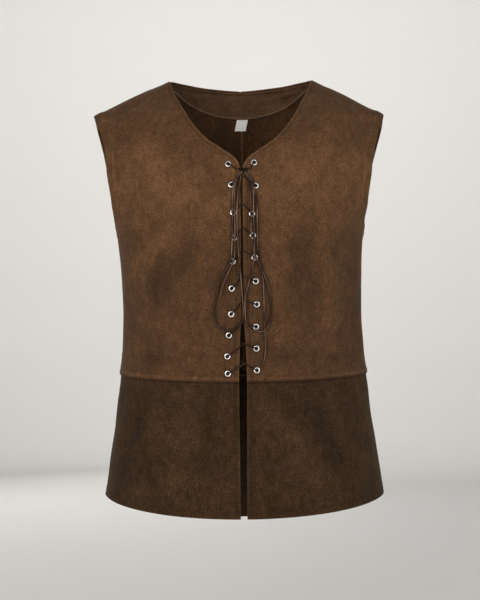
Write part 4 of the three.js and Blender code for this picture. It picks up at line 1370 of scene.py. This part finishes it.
# %% Held lacing
OVER_FLANGE, ON_CLOTH, BEHIND = 2.7, 1.8, -4.5
SLIT_RISE, STRAND_APART = 13, 1.5
NEAR_SLIT = {"across": 3.8, "share": 0.86, "behind": -3.9, "drop": 2}
IN_SLIT = {"across": 0.45, "front": 1.3, "behind": -3.1, "drop": 0.4}
BOTTOM_BAR = {"across": 0.8, "down": 479.5}
KNOT = {"across": 3, "down": 159, "lift": 5.2, "half_width": 9}
KNOT_LACE = {"reach": (7.8, 2.6, 3.3), "radius": 1.35}
KNOT_ENTRY = {"across": KNOT["half_width"] + 2.2, "down": KNOT["down"] - 1.5, "lift": 4.2}
HELD_STEP = 0.0009
BEFORE_KNOT_DIP = 4
TOWARD_EYELET = 0.6


def lacing_places(start):
    """Zigzag from behind the lowest eyelet on the side start up to the knot."""
    def spot(row, side):
        """Place across and down of an eyelet."""
        return EYELETS[side][row] * np.array([side, 1])

    lowest = len(EYELETS[1]) - 1
    route, side = [(start * BOTTOM_BAR["across"], BOTTOM_BAR["down"], BEHIND)], start
    for row in range(lowest, -1, -1):
        x, down = spot(row, side)
        slit_down = (spot(row, -1)[1] + spot(row, 1)[1]) / 2 - SLIT_RISE - side * STRAND_APART
        route += [(x, down, BEHIND), (x, down, -CLOTH / 2), (x, down, OVER_FLANGE)]
        if row == 0:
            stop = KNOT["across"] + side * KNOT_ENTRY["across"]
            route.append(((x + stop) / 2, down + BEFORE_KNOT_DIP, OVER_FLANGE))
            route.append((stop, KNOT_ENTRY["down"], KNOT_ENTRY["lift"]))
            break
        past = slit_down - NEAR_SLIT["drop"]
        next_x, next_down = spot(row - 1, -side)
        route += [
            (0.5 * x, blend(down, slit_down, 0.5), OVER_FLANGE),
            (side * NEAR_SLIT["across"], blend(down, slit_down, NEAR_SLIT["share"]), ON_CLOTH),
            (side * IN_SLIT["across"], slit_down, IN_SLIT["front"]),
            (-side * IN_SLIT["across"], slit_down - IN_SLIT["drop"], IN_SLIT["behind"]),
            (-side * NEAR_SLIT["across"], past, NEAR_SLIT["behind"]),
            (next_x * TOWARD_EYELET, (slit_down + next_down) / 2, BEHIND),
        ]
        side = -side
    return route


def lift_off(path):
    """How far in front of the cloth each point of a path is, in millimetres."""
    x, y, z = 1000 * path.T
    return cloth_point(angle_across(x, -z), -z)[:, 1] - y


lacing_length = {}
for name, start in (("lacing_a", -1), ("lacing_b", 1)):
    path = spline(on_front(lacing_places(start)), HELD_STEP)
    lacing_length[name] = round(float(run_along(path)[-1]), 3)
    # painted shade: the lace's painted highlight fades out where it runs through and behind the cloth
    lace_piece(name, path, seed=3.0 + start, worn_and_lit=0.5 * smooth((lift_off(path) + 0.5) / 1.5))
print("held lacing, m:", lacing_length)


# %% Knot: the lace wound over and under itself
def knot_path(count=260):
    """A flattened trefoil: a closed curve that passes over and under itself three times."""
    t = np.linspace(0, 2 * math.pi, count)
    x = (np.sin(t) + 2 * np.sin(2 * t)) / 3
    z = (np.cos(t) - 2 * np.cos(2 * t)) / 3
    y = -np.sin(3 * t)
    return np.stack([x, y, z], -1)


knot_centre = on_front([(KNOT["across"], KNOT["down"], KNOT["lift"])])[0]
path = knot_centre + knot_path() * (np.array(KNOT_LACE["reach"]) / 1000)
# painted shade: the knot gets little of the lace's painted highlight, so it stays dark
lace_piece("bow_knot", path, seed=7.0, worn_and_lit=0.15, radius=KNOT_LACE["radius"])
print("knot at", np.round(knot_centre, 4))

# %% [markdown]
# ## Stage and light
#
# The vest is shown in front of a plain pale bowl: its floor rises all round into a wall, so
# there is no horizon behind the vest from any side. Two soft boxes stand in front at chest
# height, the left one stronger, so that the light falls off towards the shoulders and the hem
# and the folds show. One behind and one above light the back, and four light the backdrop all
# round, so that it is as pale from every side.

# %% Bowl
def stage_bowl(sides=96):
    """A flat floor that curves up into a wall, turned round the vertical axis."""
    radius = np.array([0.0, 1.5, 3.2, 4.0, 4.5, 4.8, 4.95, 5.0, 5.0])
    height = np.array([0.0, 0.0, 0.0, 0.08, 0.28, 0.62, 1.1, 1.8, 4.5]) - 0.98
    turn = np.linspace(0, 2 * math.pi, sides, endpoint=False)
    points = np.stack([
        radius[1:, None] * np.cos(turn), radius[1:, None] * np.sin(turn),
        np.broadcast_to(height[1:, None], (len(radius) - 1, sides)),
    ], -1).reshape(-1, 3)
    fan = np.arange(sides)
    centre = np.stack([np.full(sides, len(points)), fan, (fan + 1) % sides], -1)
    points = np.vstack([points, [(0, 0, height[0])]])
    mesh = bpy.data.meshes.new("stage_bowl")
    quads = grid_faces(len(radius) - 1, sides, closed=True)[:, ::-1]
    mesh.from_pydata(points.tolist(), [], centre.tolist() + quads.tolist())
    mesh.shade_smooth()
    bowl = bpy.data.objects.new("stage_bowl", mesh)
    bpy.context.scene.collection.objects.link(bowl)
    return bowl


paper = bpy.data.materials.new("matt_backdrop_paper")
paper.use_nodes = True
paper_shader = paper.node_tree.nodes["Principled BSDF"]
paper_shader.inputs["Base Color"].default_value = linear("#f1efec")
paper_shader.inputs["Roughness"].default_value = 0.95
bowl = stage_bowl()
bowl.data.materials.append(paper)
print("backdrop:", len(bowl.data.polygons), "faces")


# %% Lights
def soft_light(name, place, aim, size, power, colour="#ffffff"):
    """Square area light at a place, turned towards a point."""
    data = bpy.data.lights.new(name, "AREA")
    data.shape, data.size, data.energy = "SQUARE", size, power
    data.color = linear(colour)[:3]
    lamp = bpy.data.objects.new(name, data)
    bpy.context.scene.collection.objects.link(lamp)
    ray = np.array(aim, float) - np.array(place, float)
    lamp.location = place
    lamp.rotation_euler = (
        math.acos(-ray[2] / np.linalg.norm(ray)), 0, math.atan2(ray[1], ray[0]) - math.pi / 2
    )
    lamp.visible_camera = False
    return lamp


CHEST = (0.0, -0.1, -0.25)
LIGHTS = (
    ("key", (-0.9, -1.8, -0.08), 1.1, 16.5, "#fff6ea"),
    ("fill", (1.1, -1.8, -0.2), 1.2, 9, "#fffaf4"),
    ("behind", (-0.8, 2.3, 0.3), 1.4, 14, "#ffffff"),
    ("top", (0.2, 0.5, 1.9), 1.4, 6, "#ffffff"),
)
# the lamps that light the bowl's wall: distance off the axis and height of lamp and aim
BOWL_LAMP = {"at": (2.4, 1.2), "aim": (5, 1.0), "size": 1.6, "power": 34}
for name, place, size, power, colour in LIGHTS:
    soft_light(name, place, CHEST, size, power, colour)
for number, turn in enumerate((0, 90, 180, 270)):
    outward = np.array([math.sin(math.radians(turn)), math.cos(math.radians(turn)), 0])
    place, aim = (off * outward + (0, 0, up) for off, up in (BOWL_LAMP["at"], BOWL_LAMP["aim"]))
    soft_light(f"backdrop_{number}", place, aim, BOWL_LAMP["size"], BOWL_LAMP["power"])
print("lights:", len(bpy.data.lights))
world = bpy.data.worlds.new("studio")
bpy.context.scene.world = world
world.use_nodes = True
world.node_tree.nodes["Background"].inputs["Color"].default_value = linear("#eef1f5")
world.node_tree.nodes["Background"].inputs["Strength"].default_value = 0.22
bpy.context.scene.view_settings.view_transform = "Standard"
